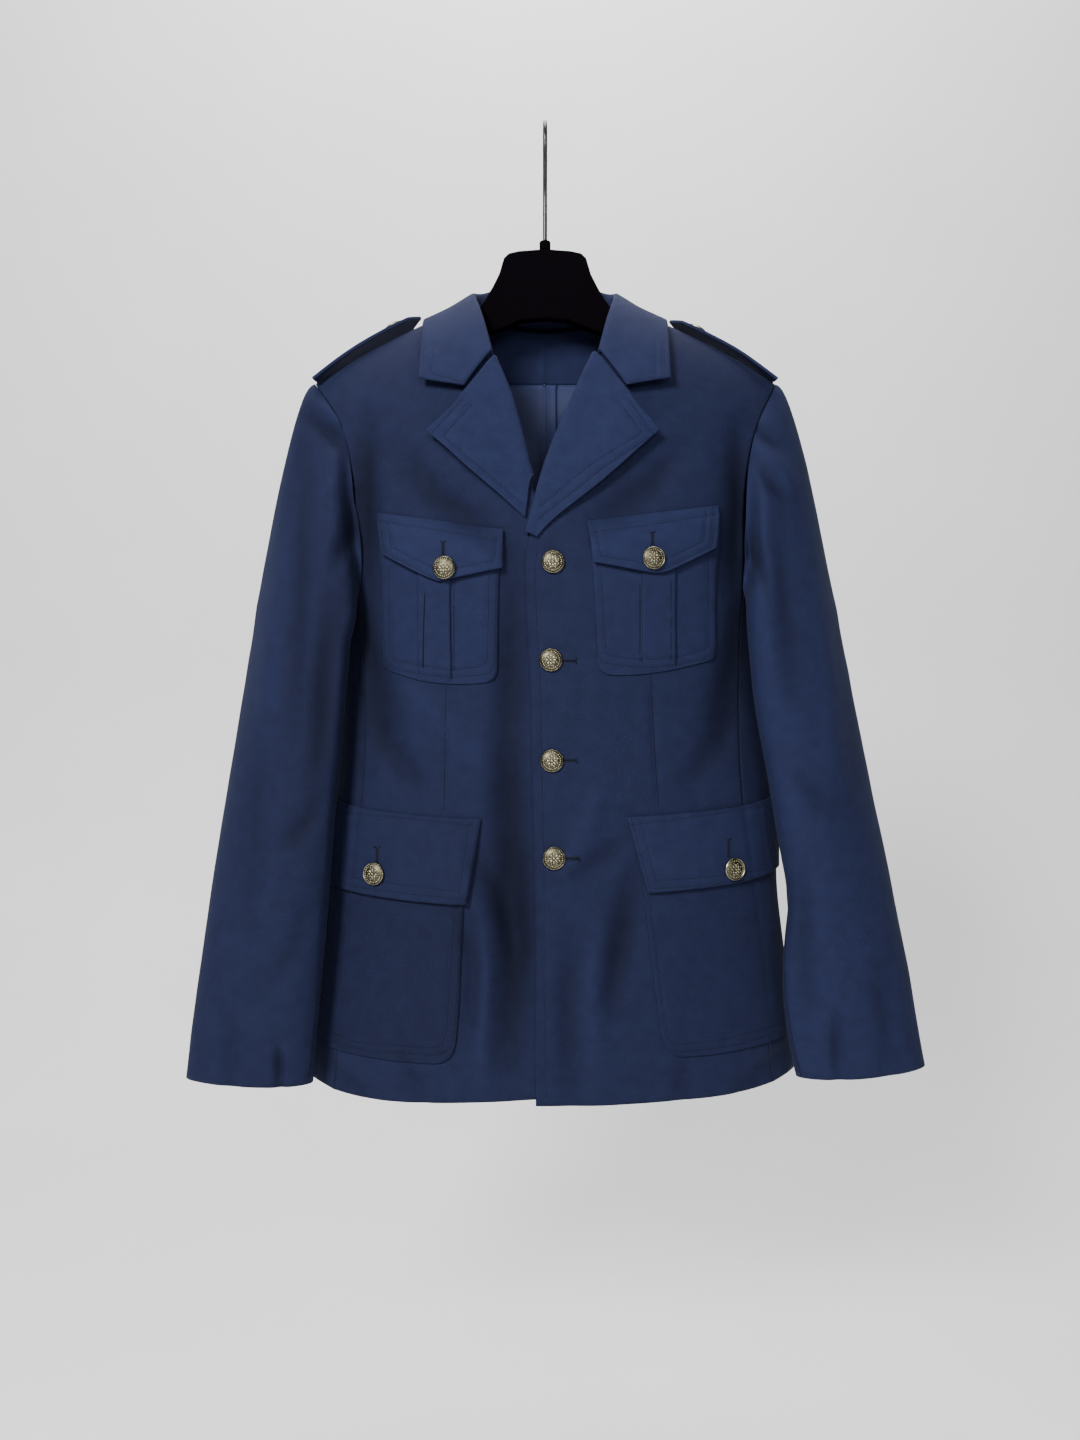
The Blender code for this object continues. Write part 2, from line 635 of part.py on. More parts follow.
def make_side(side):
    """Make one side body, from the hem to the underarm."""
    name = "side_left" if side > 0 else "side_right"
    reach = "front_left" if side > 0 else "front_right"
    grid = [[body_turn_point(side, turn, z) for turn, z in underarm_points(side)]]
    for level in LOWER_ROWS:
        share = (level - BREAK_Z) / (HEM_Z - BREAK_Z)
        front_x = read(SEAMS, level, reach)
        back_x = read(SEAMS, level, "back")
        front_z = level + (hem_height(side, front_x) - HEM_Z) * share ** 3
        back_z = level + (hem_height(side, back_x, True) - HEM_Z) * share ** 3
        front = turn_at(side, front_x, front_z)
        back = 180 - turn_at(side, back_x, back_z)
        row = []
        for index in range(SIDE_COLUMNS + 1):
            turn = mix(front, back, index / SIDE_COLUMNS)
            across = abs(body_turn_point(side, turn, level).x)
            z = level + (hem_height(side, across, turn > 90) - HEM_Z) * share ** 3
            row.append(body_turn_point(side, turn, z))
        row[0] = body_point(side * front_x, front_z)
        row[-1] = body_point(side * back_x, back_z, True)
        grid.append(row)
    normals = [[body_normal(point) for point in row] for row in grid]
    for row in grid:
        row[0] = trim_seam([row[0]], [row[1]])[0]
        row[-1] = trim_seam([row[-1]], [row[-2]])[0]
    cloth_wall(name, grid, normals, CLOTH, NAVY)


def armhole_loop(side):
    """Return the armhole's points, round from the shoulder by the front and the underarm."""
    reach = "front_left" if side > 0 else "front_right"
    heights = [mix(TIP_Z, BREAK_Z, share) for share in UPPER_ROWS] + [BETWEEN_ROWS[0]]
    front = [body_point(side * read(ARMHOLE, z, reach), z) for z in heights]
    under = [body_turn_point(side, turn, z) for turn, z in underarm_points(side)]
    back = [body_point(side * read(ARMHOLE, z, "back"), z, True) for z in heights]
    return front + under + list(reversed(back))[:-1]


def sleeve_angle(index, front_count, count):
    """Return the angle of a sleeve's line of points: 0 outside, 90 in front."""
    hind = front_count + SIDE_COLUMNS
    if index <= front_count:
        return FOREARM_ANGLE * index / front_count
    if index <= hind:
        return mix(FOREARM_ANGLE, HIND_ARM_ANGLE, (index - front_count) / SIDE_COLUMNS)
    return mix(HIND_ARM_ANGLE, 2 * math.pi, (index - hind) / (count - hind))


def sleeve_point(side, table, z, angle):
    """Return a point of the sleeve's slanted oval at a height."""
    outer = read(table, z, "outer")
    inner = read(table, z, "inner")
    half_depth = read(table, z, "half_depth")
    slant = read(table, z, "slant")
    half_wide = (outer - inner) / 2
    half_flat = math.sqrt(half_wide ** 2 - (slant * half_depth) ** 2)
    forward = -half_depth * math.sin(angle)
    across = (outer + inner) / 2 + half_flat * math.cos(angle) + slant * forward
    rise = read(table, z, "tilt") * (across - (outer + inner) / 2)
    return Vector((side * across, read(table, z, "middle_y") + forward, z + rise))


def sleeve_head(side, start, target, above, turn, centre):
    """Return one line of points from the armhole down to the sleeve's first whole oval."""
    out = Vector((side, 0, 0))
    spread = Vector((0, start.y - centre.y, start.z - centre.z)).normalized()
    angle = math.radians(read(PUFFS, turn, "angle"))
    reach = read(PUFFS, turn, "reach")
    leaving = out * math.cos(angle) + spread * math.sin(angle)
    begin = start + leaving * 0.0006
    first = begin + leaving * reach
    rise = (above - target).normalized()
    second = target + rise * ((target - begin).length * 0.42)
    line = []
    for t in SLEEVE_HEAD_STEPS:
        s = 1 - t
        line.append(begin * s ** 3 + first * (3 * s * s * t) + second * (3 * s * t * t) + target * t ** 3)
    return line


def sleeve_rings(side):
    """Return the sleeve's rings of points, from the armhole to the cuff."""
    table = SLEEVE_LEFT if side > 0 else SLEEVE_RIGHT
    loop = armhole_loop(side)
    count = len(loop)
    front_count = len(UPPER_ROWS) + 1
    centre = (loop[0] + loop[front_count + SIDE_COLUMNS // 2]) / 2
    angles = [sleeve_angle(index, front_count, count) for index in range(count)]
    lines = []
    for index, start in enumerate(loop):
        target = sleeve_point(side, table, LOWER_ARM_ROWS[0], angles[index])
        below = sleeve_point(side, table, LOWER_ARM_ROWS[0] - 0.02, angles[index])
        above = target + (target - below)
        turn = angles[index] / (2 * math.pi)
        lines.append(sleeve_head(side, start, target, above, turn, centre))
    rings = [[line[step] for line in lines] for step in range(len(SLEEVE_HEAD_STEPS))]
    for level in LOWER_ARM_ROWS + (table[-1].height,):
        rings.append([sleeve_point(side, table, level, angle) for angle in angles])
    return rings


def ring_normals(rings, side):
    """Return the outward direction at each point of a tube's rings."""
    count = len(rings[0])
    normals = []
    for row, ring in enumerate(rings):
        above = rings[max(row - 1, 0)]
        below = rings[min(row + 1, len(rings) - 1)]
        line = []
        for index in range(count):
            round_way = ring[(index + 1) % count] - ring[index - 1]
            down_way = below[index] - above[index]
            line.append((round_way.cross(down_way) * side).normalized())
        normals.append(line)
    return normals


def fold_depth(side, turn, height):
    """Return how deep the sleeve's folds are at a turn and a height."""
    depth = 0.0
    for fold in SLEEVE_FOLDS:
        if fold.side == side:
            across = math.radians((turn - fold.turn + 180) % 360 - 180) * FOLD_GIRTH
            up = height - fold.height
            lean = math.radians(fold.lean)
            wide = across * math.cos(lean) + up * math.sin(lean)
            long = up * math.cos(lean) - across * math.sin(lean)
            depth += fold.depth * math.exp(-(wide / fold.half_width) ** 2 - (long / fold.half_length) ** 2)
    return depth


def fold_sleeve(side, rings):
    """Press the folds into a sleeve's rings, but for the ring that is sewn to the armhole."""
    normals = ring_normals(rings, side)
    forearm = len(UPPER_ROWS) + 1
    for row in range(1, len(rings)):
        ring = rings[row]
        for index, point in enumerate(ring):
            turn = math.degrees(sleeve_angle(index, forearm, len(ring)))
            ring[index] = point - normals[row][index] * fold_depth(side, turn, point.z)
    return rings


def make_sleeve(side):
    """Make a sleeve's top and under pieces from its rings."""
    word = "left" if side > 0 else "right"
    rings = fold_sleeve(side, sleeve_rings(side))
    normals = ring_normals(rings, side)
    count = len(rings[0])
    forearm = len(UPPER_ROWS) + 1
    hind = forearm + SIDE_COLUMNS
    under = list(range(forearm, hind + 1))
    top = list(range(hind, count)) + list(range(0, forearm + 1))
    for name, picked in (("sleeve_under_", under), ("sleeve_top_", top)):
        grid = [[ring[index] for index in picked] for ring in rings]
        facing = [[line[index] for index in picked] for line in normals]
        for row in grid:
            row[0] = trim_seam([row[0]], [row[1]], SLEEVE_SEAM_GAP)[0]
            row[-1] = trim_seam([row[-1]], [row[-2]], SLEEVE_SEAM_GAP)[0]
        cloth_wall(name + word, grid, facing, CLOTH, NAVY)


def keep_out(point, lift):
    """Return a point, moved out to a lift from the body's surface where it lies nearer."""
    ground = lay(point.x, point.y, point.z, 0.0)
    normal = body_normal(ground)
    return ground + normal * max((point - ground).dot(normal), lift)


def laid_in_view(x, y, z, lift):
    """Return a point lifted off the body that keeps its place as seen from front or back."""
    if abs(y) < 0.03:
        return lay(x, y, z, lift)
    ground = body_point(x, z, y > 0)
    return ground + body_normal(ground) * lift


def collar_line(row, side):
    """Return one line of the collar: up the stand, over the fold and down the fall."""
    fold = Vector((side * row.fold_x, row.fold_y, row.fold_z))
    mid = Vector((side * row.mid_x, row.mid_y, row.mid_z))
    mid = laid_in_view(*mid, COLLAR_LIFT) if row.mid_y < -0.03 else keep_out(mid, COLLAR_LIFT)
    edge = laid_in_view(side * row.edge_x, row.edge_y, row.edge_z, COLLAR_EDGE_LIFT)
    foot = body_point(side * row.foot_x, row.foot_z, row.fold_y > 0.001)
    inward = Vector((-fold.x, 0.004 - fold.y, 0)).normalized()
    foot += inward * COLLAR_FOOT_IN
    drop = Vector((0, 0, -COLLAR_FOLD))
    return [
        foot,
        foot.lerp(fold, 0.55) + inward * COLLAR_FOOT_IN / 2,
        fold + inward * COLLAR_FOOT_IN / 3 + drop,
        fold - inward * COLLAR_FOOT_IN,
        keep_out(fold - inward * COLLAR_FOOT_IN * 3 + drop, COLLAR_LIFT),
        keep_out(fold.lerp(mid, 0.45) - drop / 2, COLLAR_LIFT),
        mid,
        keep_out(mid.lerp(edge, 0.5), COLLAR_EDGE_LIFT),
        edge,
    ]


def make_collar():
    """Make the collar, from one front end round the neck to the other."""
    right = [collar_line(row, -1) for row in reversed(COLLAR)]
    left = [collar_line(row, 1) for row in COLLAR[1:]]
    laid_sheet("collar", right + left, CLOTH, NAVY, (0, 0, 1))


def make_lapel(side):
    """Make a lapel: the front's cloth, rolled over at its roll line and laid on the front.

    Each point of the rows has its own facing, so that the wall turns with the roll.
    """
    name = "lapel_left" if side > 0 else "lapel_right"
    table = LAPEL_LEFT if side > 0 else LAPEL_RIGHT
    grid = []
    facings = []
    for row in table:
        width = math.hypot(row.edge_x - row.roll_x, row.edge_z - row.roll_z)
        roll = min(LAPEL_ROLL, LAPEL_ROLL_SHARE * width + LAPEL_LEAST_ROLL)
        middle_x = (row.roll_x + row.edge_x) / 2
        middle_z = (row.roll_z + row.edge_z) / 2
        line = []
        facing_line = []
        for station in LAPEL_PROFILE:
            bend = station.bow * 2 * station.along * (1 - station.along)
            x = mix(row.roll_x, row.edge_x, station.along) + (row.bend_x - middle_x) * bend + station.inward
            z = mix(row.roll_z, row.edge_z, station.along) + (row.bend_z - middle_z) * bend
            point = body_point(side * x, z)
            if side < 0:
                point.y += under_step(point)
            normal = body_normal(point)
            facing = normal.lerp(Vector((-side, 0, 0)), station.turn).normalized()
            line.append(point + normal * (roll * station.roll_share + station.lift) + facing * CLOTH)
            facing_line.append(facing)
        grid.append(line)
        facings.append(facing_line)
    cloth_wall(name, grid, facings, CLOTH, NAVY)


def rounded_rows(rows, height, radius):
    """Return a patch's rows as (share down, inset), with rounded lower corners."""
    made = [(index / rows, 0.0) for index in range(rows)]
    start = 1 - radius / height
    made = [row for row in made if row[0] < start - 0.03] + [(start, 0.0)]
    for angle in (35, 65, 90):
        down = math.sin(math.radians(angle))
        inset = radius * (1 - math.cos(math.radians(angle)))
        made.append((mix(start, 1.0, down), inset))
    return made


def make_chest_pocket(name, patch, pleat):
    """Make a chest pocket, with the raised band of its box pleat."""
    height = abs(patch.foot_outer[1] - patch.top_outer[1])
    middle = (patch.foot_outer[1] + patch.foot_inner[1]) / 2
    droop = patch.point[1] - middle
    grid = []
    for down, inset in rounded_rows(7, height, patch.round_off):
        inner_x = mix(patch.top_inner[0], patch.foot_inner[0], down) + inset
        outer_x = mix(patch.top_outer[0], patch.foot_outer[0], down) - inset
        inner_z = mix(patch.top_inner[1], patch.foot_inner[1], down)
        outer_z = mix(patch.top_outer[1], patch.foot_outer[1], down)
        low, high = pleat
        stops = [
            (inner_x, 0.0), (mix(inner_x, low, 0.5), 0.0), (low - 0.0005, 0.0), (low, PLEAT_RAISE),
            ((low + high) / 2, PLEAT_RAISE), (high, PLEAT_RAISE), (high + 0.0005, 0.0),
            (mix(high, outer_x, 0.5), 0.0), (outer_x, 0.0),
        ]
        line = []
        for x, raised in stops:
            across = (x - inner_x) / (outer_x - inner_x)
            z = mix(inner_z, outer_z, across) + droop * 4 * across * (1 - across) * down
            flat_end = smooth_step(1.0, 0.93, down)
            line.append(lay(patch.side * x, -0.06, z, LIFT + raised * flat_end))
        grid.append(line)
    laid_sheet(name, grid, POCKET_CLOTH, NAVY, (0, -1, 0))


def make_chest_flap(name, patch):
    """Make a chest pocket's pointed flap."""
    grid = []
    for down, lift in ((0.0, 0.0), (0.12, 0.45), (0.28, 1.0), (0.55, 1.0), (0.80, 1.0), (1.0, 0.96)):
        line = []
        for index in range(11):
            across = index / 10
            foot_x = mix(patch.foot_inner[0], patch.foot_outer[0], across)
            top_x = mix(patch.top_inner[0], patch.top_outer[0], across)
            point_at = (patch.point[0] - patch.foot_inner[0]) / (patch.foot_outer[0] - patch.foot_inner[0])
            if across < point_at:
                foot_z = mix(patch.foot_inner[1], patch.point[1], across / point_at)
            else:
                foot_z = mix(patch.point[1], patch.foot_outer[1], (across - point_at) / (1 - point_at))
            top_z = mix(patch.top_inner[1], patch.top_outer[1], across)
            x = mix(top_x, foot_x, down)
            z = mix(top_z, foot_z, down)
            line.append(lay(patch.side * x, -0.06, z, LIFT + (CHEST_FLAP_LIFT - LIFT) * lift))
        grid.append(line)
    laid_sheet(name, grid, FLAP_CLOTH, NAVY, (0, -1, 0))


def hip_grid(patch, rows, columns, lift_at):
    """Return the points of a hip pocket or flap, wrapped round towards the side."""
    grid = []
    for down, inset in rows:
        inner_x = mix(patch.inner_top[0], patch.inner_foot[0], down) + inset
        inner_z = mix(patch.inner_top[1], patch.inner_foot[1], down)
        outer_z = mix(patch.outer_top, patch.outer_foot, down)
        start = turn_at(patch.side, inner_x, inner_z)
        width = read(LEVELS, outer_z, "side_left" if patch.side > 0 else "side_right")
        end = patch.turn - math.degrees(inset / width) * 1.6
        line = []
        for index in range(columns + 1):
            across = index / columns
            turn = mix(start, end, across)
            z = mix(inner_z, outer_z, across ** 1.4)
            place = body_turn_point(patch.side, turn, z)
            line.append(place + body_normal(place) * lift_at(down))
        grid.append(line)
    return grid


def make_hip_pocket(name, patch):
    """Make a large hip pocket."""
    height = abs(patch.inner_foot[1] - patch.inner_top[1])
    rows = rounded_rows(8, height, patch.round_off)
    grid = hip_grid(patch, rows, 11, lambda down: HIP_LIFT)
    laid_sheet(name, grid, POCKET_CLOTH, NAVY, (0, -1, 0))


def make_hip_flap(name, patch):
    """Make a hip pocket's flap."""
    rows = [(down, 0.0) for down in (0.0, 0.09, 0.20, 0.48, 0.76, 1.0)]

    def lift_at(down):
        return mix(HIP_LIFT, HIP_FLAP_LIFT, smooth_step(0.0, 0.18, down))

    laid_sheet(name, hip_grid(patch, rows, 11, lift_at), FLAP_CLOTH, NAVY, (0, -1, 0))


def strap_point(side, x, y):
    """Return a point of a strap's underside over the shoulder line.

    A strap follows the shoulder's round only a little, more so near the sleeve.
    """
    on_body = lay(side * x, y, ridge_height(x) - 0.004, 0.0)
    away = min((STRAP_OUT - x) / STRAP_SPRING, 1.0)
    rise = STRAP_RISE[side] * math.sin(math.pi * away / 2) + STRAP_LIFT
    follow = STRAP_FOLLOW * (1 + smooth_step(0.19, STRAP_OUT, x))
    z = mix(on_body.z, ridge_height(x), 1 - follow) + rise
    return Vector((side * x, y, z))


def make_strap(side):
    """Make a shoulder strap: sewn in at the sleeve, pointed and buttoned at the neck."""
    name = "shoulder_strap_left" if side > 0 else "shoulder_strap_right"
    grid = []
    for along in STRAP_ROWS:
        line = []
        for index in range(9):
            across = index / 4 - 1
            half = mix(STRAP_NECK_HALF, STRAP_HALF, along)
            point_back = STRAP_POINT * abs(across) * (1 - smooth_step(0.0, 0.35, along))
            x = mix(STRAP_IN, STRAP_OUT, along) + point_back
            line.append(strap_point(side, x, across * half))
        grid.append(line)
    laid_sheet(name, grid, STRAP_CLOTH, NAVY, (0, 0, 1))


def button_mesh():
    """Return the outline of a domed button with a raised rim, for turning about Z."""
    outline = [
        (0.0, BUTTON_DOME),
        (BUTTON_R * 0.42, BUTTON_DOME - 0.00035),
        (BUTTON_R * 0.76, BUTTON_DOME - 0.0013),
        (BUTTON_R - BUTTON_RIM, BUTTON_DOME - 0.0021),
        (BUTTON_R - BUTTON_RIM * 0.5, BUTTON_DOME - 0.0015),
        (BUTTON_R, BUTTON_DOME - 0.0021),
        (BUTTON_R * 0.97, BUTTON_DOME - 0.0031),
        (BUTTON_STEM, BUTTON_DOME - 0.0033),
        (BUTTON_STEM, 0.0),
        (0.0, 0.0),
    ]
    mesh = bpy.data.meshes.new("button")
    links = [(index, index + 1) for index in range(len(outline) - 1)]
    mesh.from_pydata([(x, 0.0, z) for x, z in outline], links, [])
    return mesh


def make_button(name, mesh, place, normal):
    """Place one turned button on a surface point."""
    made = bpy.data.objects.new(name, mesh)
    bpy.data.collections[OBJECT_NAME].objects.link(made)
    made.location = place + normal * SEAM_GAP
    made.rotation_mode = "QUATERNION"
    made.rotation_quaternion = Vector((0, 0, 1)).rotation_difference(normal)
    turned = made.modifiers.new("Screw", "SCREW")
    turned.steps = 12
    turned.render_steps = 12
    turned.use_merge_vertices = True
    turned.merge_threshold = 0.00005
    turned.use_smooth_shade = True
    return made


def make_buttons():
    """Make the jacket's ten buttons."""
    mesh = button_mesh()
    mesh.materials.append(make_material("button", PALE_BRASS))
    for name, spot in BUTTONS.items():
        ground = lay(spot.x, spot.y, spot.z, 0.0)
        normal = body_normal(ground)
        make_button(name, mesh, ground + normal * spot.lift, normal)
    for side in (-1, 1):
        name = "button_shoulder_left" if side > 0 else "button_shoulder_right"
        here = strap_point(side, STRAP_BUTTON_X, 0.0)
        ahead = strap_point(side, STRAP_BUTTON_X + STRAP_POINT, 0.0)
        along = ahead - strap_point(side, STRAP_BUTTON_X - STRAP_POINT, 0.0)
        normal = along.cross(Vector((0, -1, 0)) * side).normalized()
        if normal.z < 0:
            normal.negate()
        make_button(name, mesh, here + normal * STRAP_CLOTH, normal)


def make_inside():
    """Make the back neck facing and the lining below it, on the inside of the back."""
    for name, top_z, foot_z, rows, finish in (
        ("back_neck_facing", None, FACING_FOOT_Z, 4, NAVY),
        ("back_lining", FACING_FOOT_Z - SEAM_GAP, LINING_FOOT_Z, 7, LINING_BLUE),
    ):
        half = NECK_X - 0.011 if top_z is None else LINING_HALF
        low, high = LINING_PLEAT
        if top_z is None:
            stops = [mix(-half, half, index / 12) for index in range(13)]
        else:
            left = [mix(-half, low, index / 6) for index in range(6)]
            right = [mix(high, half, (index + 1) / 6) for index in range(6)]
            stops = left + [low, low + 0.0008, high, high + 0.0012] + right
        grid = []
        for row in range(rows + 1):
            line = []
            for x in stops:
                neck = BACK_NECK_Z + NECK_DIP * (x / NECK_X) ** 2 - 0.0006
                z = mix(neck if top_z is None else top_z, foot_z, row / rows)
                on_back = body_point(x, z, True)
                raised = 0.0018 if top_z is not None and low < x <= high else 0.0
                line.append(on_back - body_normal(on_back) * (CLOTH + LINING_LIFT + raised))
            grid.append(line)
        laid_sheet(name, grid, LINING, finish, (0, -1, 0))


def make_hanger_body():
    """Make the flocked hanger: its neck plate and the arms that carry the shoulders."""
    arm = [(x, ridge_height(x) - HANGER_DROP) for x in HANGER_ARM_XS]
    tip_z = ridge_height(HANGER_REACH) - HANGER_DROP
    tip = [(HANGER_REACH, tip_z - HANGER_ROUND), (HANGER_REACH - HANGER_ROUND / 2, tip_z - HANGER_ARM * 0.8)]
    foot = [(x, ridge_height(x) - HANGER_DROP - HANGER_ARM) for x in reversed(HANGER_ARM_XS[:-1])]
    half = list(HANGER_NECK) + arm + tip + foot + list(HANGER_ARCH[:-1])
    outline = half + [HANGER_ARCH[-1]] + [(-x, z) for x, z in reversed(half[1:])]
    curve = bpy.data.curves.new("hanger_body", "CURVE")
    curve.dimensions = "2D"
    curve.fill_mode = "BOTH"
    curve.extrude = HANGER_HALF_THICK - HANGER_BEVEL
    curve.bevel_depth = HANGER_BEVEL
    curve.bevel_resolution = 1
    curve.offset = -HANGER_BEVEL
    line = curve.splines.new("POLY")
    line.points.add(len(outline) - 1)
    for point, (x, z) in zip(line.points, outline):
        point.co = (x, z, 0.0, 1.0)
    line.use_cyclic_u = True
    made = add_object("hanger_body", curve, VELVET)
    made.rotation_euler = (math.pi / 2, 0, 0)


def make_hook():
    """Make the hook's wire: over the top, down in front and back to the middle."""
    points = []
    for degrees in range(*HOOK_TURN):
        angle = math.radians(degrees)
        points.append((0.0, -HOOK_R * math.cos(angle), -ROD_R - HOOK_R * math.sin(angle)))
    points += [(0.0, y, z) for y, z in HOOK_NECK]
    points.append((0.0, 0.0, FERRULE_TOP + SEAM_GAP))
    curve = bpy.data.curves.new("hanger_hook", "CURVE")
    curve.dimensions = "3D"
    curve.bevel_depth = WIRE_R
    curve.bevel_resolution = 2
    curve.use_fill_caps = True
    line = curve.splines.new("POLY")
    line.points.add(len(points) - 1)
    for point, place in zip(line.points, points):
        point.co = (*place, 1.0)
    add_object("hanger_hook", curve, WIRE_STEEL)
    height = FERRULE_TOP - PLATE_TOP - SEAM_GAP
    middle = (0, 0, FERRULE_TOP - height / 2)
    bpy.ops.mesh.primitive_cylinder_add(vertices=24, radius=FERRULE_R, depth=height, location=middle)
    ferrule = bpy.context.object
    ferrule.name = "hanger_ferrule"
    for owner in list(ferrule.users_collection):
        owner.objects.unlink(ferrule)
    bpy.data.collections[OBJECT_NAME].objects.link(ferrule)
    ferrule.data.materials.append(make_material("hanger_ferrule", VELVET))


def main():
    """Build the jacket and its hanger."""
    for old in list(bpy.data.objects):
        bpy.data.objects.remove(old)
    collection = bpy.data.collections.new(OBJECT_NAME)
    bpy.context.scene.collection.children.link(collection)
    for side in (-1, 1):
        make_front(side)
        make_side(side)
        make_back(side)
        make_sleeve(side)
        make_lapel(side)
        make_strap(side)
    make_collar()
    make_inside()
    make_chest_pocket("chest_pocket_right", CHEST_POCKETS["chest_pocket_right"], PLEAT_RIGHT)
    make_chest_pocket("chest_pocket_left", CHEST_POCKETS["chest_pocket_left"], PLEAT_LEFT)
    for name, patch in CHEST_FLAPS.items():
        make_chest_flap(name, patch)
    for name, patch in HIP_POCKETS.items():
        make_hip_pocket(name, patch)
    for name, patch in HIP_FLAPS.items():
        make_hip_flap(name, patch)
    make_buttons()
    make_hanger_body()
    make_hook()


main()
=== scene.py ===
"""The dressed suit jacket on its flocked hanger, with its studio.

Metres, +Z up. The front faces -Y and the wearer's left is at +X. Paths of folds,
stitches and seams are given as seen from the picture's viewpoint, in its own points.
"""
from __future__ import annotations

import logging
import math
from dataclasses import dataclass, field
from enum import Enum
from typing import Sequence

import bmesh
import bpy
import numpy as np
from mathutils import Matrix, Vector, noise
from mathutils.bvhtree import BVHTree

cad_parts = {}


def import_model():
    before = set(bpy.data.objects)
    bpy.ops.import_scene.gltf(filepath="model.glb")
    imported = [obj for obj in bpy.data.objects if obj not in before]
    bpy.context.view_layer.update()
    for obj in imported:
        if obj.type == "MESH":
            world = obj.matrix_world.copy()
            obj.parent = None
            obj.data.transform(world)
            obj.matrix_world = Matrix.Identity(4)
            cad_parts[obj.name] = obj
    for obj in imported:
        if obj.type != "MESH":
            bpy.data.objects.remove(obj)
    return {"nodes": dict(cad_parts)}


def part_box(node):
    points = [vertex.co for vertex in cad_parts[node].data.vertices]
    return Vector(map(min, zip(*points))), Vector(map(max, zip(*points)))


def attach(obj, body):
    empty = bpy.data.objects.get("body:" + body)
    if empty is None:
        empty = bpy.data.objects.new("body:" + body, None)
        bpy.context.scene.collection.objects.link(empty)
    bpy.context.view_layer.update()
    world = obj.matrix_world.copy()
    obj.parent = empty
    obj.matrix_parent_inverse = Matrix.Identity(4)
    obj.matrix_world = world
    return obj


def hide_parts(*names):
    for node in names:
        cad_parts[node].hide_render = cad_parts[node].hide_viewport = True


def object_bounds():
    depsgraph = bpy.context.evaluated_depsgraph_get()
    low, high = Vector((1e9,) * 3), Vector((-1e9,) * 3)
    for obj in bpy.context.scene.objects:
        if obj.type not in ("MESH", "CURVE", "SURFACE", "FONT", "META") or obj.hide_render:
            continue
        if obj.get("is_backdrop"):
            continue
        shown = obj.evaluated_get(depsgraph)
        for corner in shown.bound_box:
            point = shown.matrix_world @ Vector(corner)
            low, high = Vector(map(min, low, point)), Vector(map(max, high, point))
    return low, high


LOG = logging.getLogger("jacket")
Path = Sequence[tuple[float, float]]
Colour = tuple[float, float, float]


class Face(Enum):
    """The side of the jacket that a path is seen on."""

    FRONT = -1
    BACK = 1


class Group(Enum):
    """The pieces that share a set of folds."""

    BODY = "body"
    SLEEVE_RIGHT = "sleeve_right"
    SLEEVE_LEFT = "sleeve_left"
    NONE = "none"


@dataclass(frozen=True)
class Viewpoint:
    """A level eye in front of the jacket, and its picture of 1080 by 1440 points."""

    across: float = -0.0047
    away: float = 1.10
    height: float = -0.5575
    focal: float = 1170.0
    middle: tuple[float, float] = (540.0, 720.0)

    def picture(self, points: np.ndarray) -> np.ndarray:
        """Return the picture points of places in space.

        Args:
            points: rows of x, y, z.

        Returns:
            Rows of picture points.
        """
        depth = points[:, 1] + self.away
        u = self.middle[0] + (points[:, 0] - self.across) * self.focal / depth
        v = self.middle[1] - (points[:, 2] - self.height) * self.focal / depth
        return np.stack([u, v], axis=1)

    def ray(self, u: float, v: float, face: Face) -> tuple[Vector, Vector]:
        """Return where a ray starts and its direction.

        Args:
            u: the picture point across.
            v: the picture point down.
            face: the side that the ray meets first. From behind it runs back
                along the same line.

        Returns:
            The start and the direction.
        """
        direction = Vector(((u - self.middle[0]) / self.focal, 1.0, (self.middle[1] - v) / self.focal))
        eye = Vector((self.across, -self.away, self.height))
        if face is Face.BACK:
            return eye + direction * (2 * self.away), -direction.normalized()
        return eye, direction.normalized()


VIEW = Viewpoint()


def nearest_on_path(points: np.ndarray, path: Path) -> tuple[np.ndarray, np.ndarray]:
    """Measure points against a path of straight lines.

    Args:
        points: rows of picture points.
        path: the path's corners.

    Returns:
        The distance to the path, and the share of its length at the nearest place.
    """
    corners = np.array(path, float)
    steps = np.linalg.norm(np.diff(corners, axis=0), axis=1)
    total = steps.sum()
    best = np.full(len(points), 1e9)
    share = np.zeros(len(points))
    gone = 0.0
    for start, end, length in zip(corners[:-1], corners[1:], steps):
        along = np.clip((points - start) @ (end - start) / (length * length), 0.0, 1.0)
        gap = np.linalg.norm(points - (start + along[:, None] * (end - start)), axis=1)
        closer = gap < best
        best = np.where(closer, gap, best)
        share = np.where(closer, (gone + along * length) / total, share)
        gone += length
    return best, share


def walk(path: Path, pitch: float) -> list[tuple[float, float]]:
    """Return evenly spaced points of a path.

    Args:
        path: the path's corners.
        pitch: the spacing.

    Returns:
        The points, with the path's two ends among them.
    """
    corners = np.array(path, float)
    steps = np.linalg.norm(np.diff(corners, axis=0), axis=1)
    gone = np.concatenate([[0.0], np.cumsum(steps)])
    count = max(int(round(gone[-1] / pitch)), 1)
    places = np.linspace(0.0, gone[-1], count + 1)
    across, down = (np.interp(places, gone, corners[:, column]) for column in (0, 1))
    return [(float(u), float(v)) for u, v in zip(across, down)]


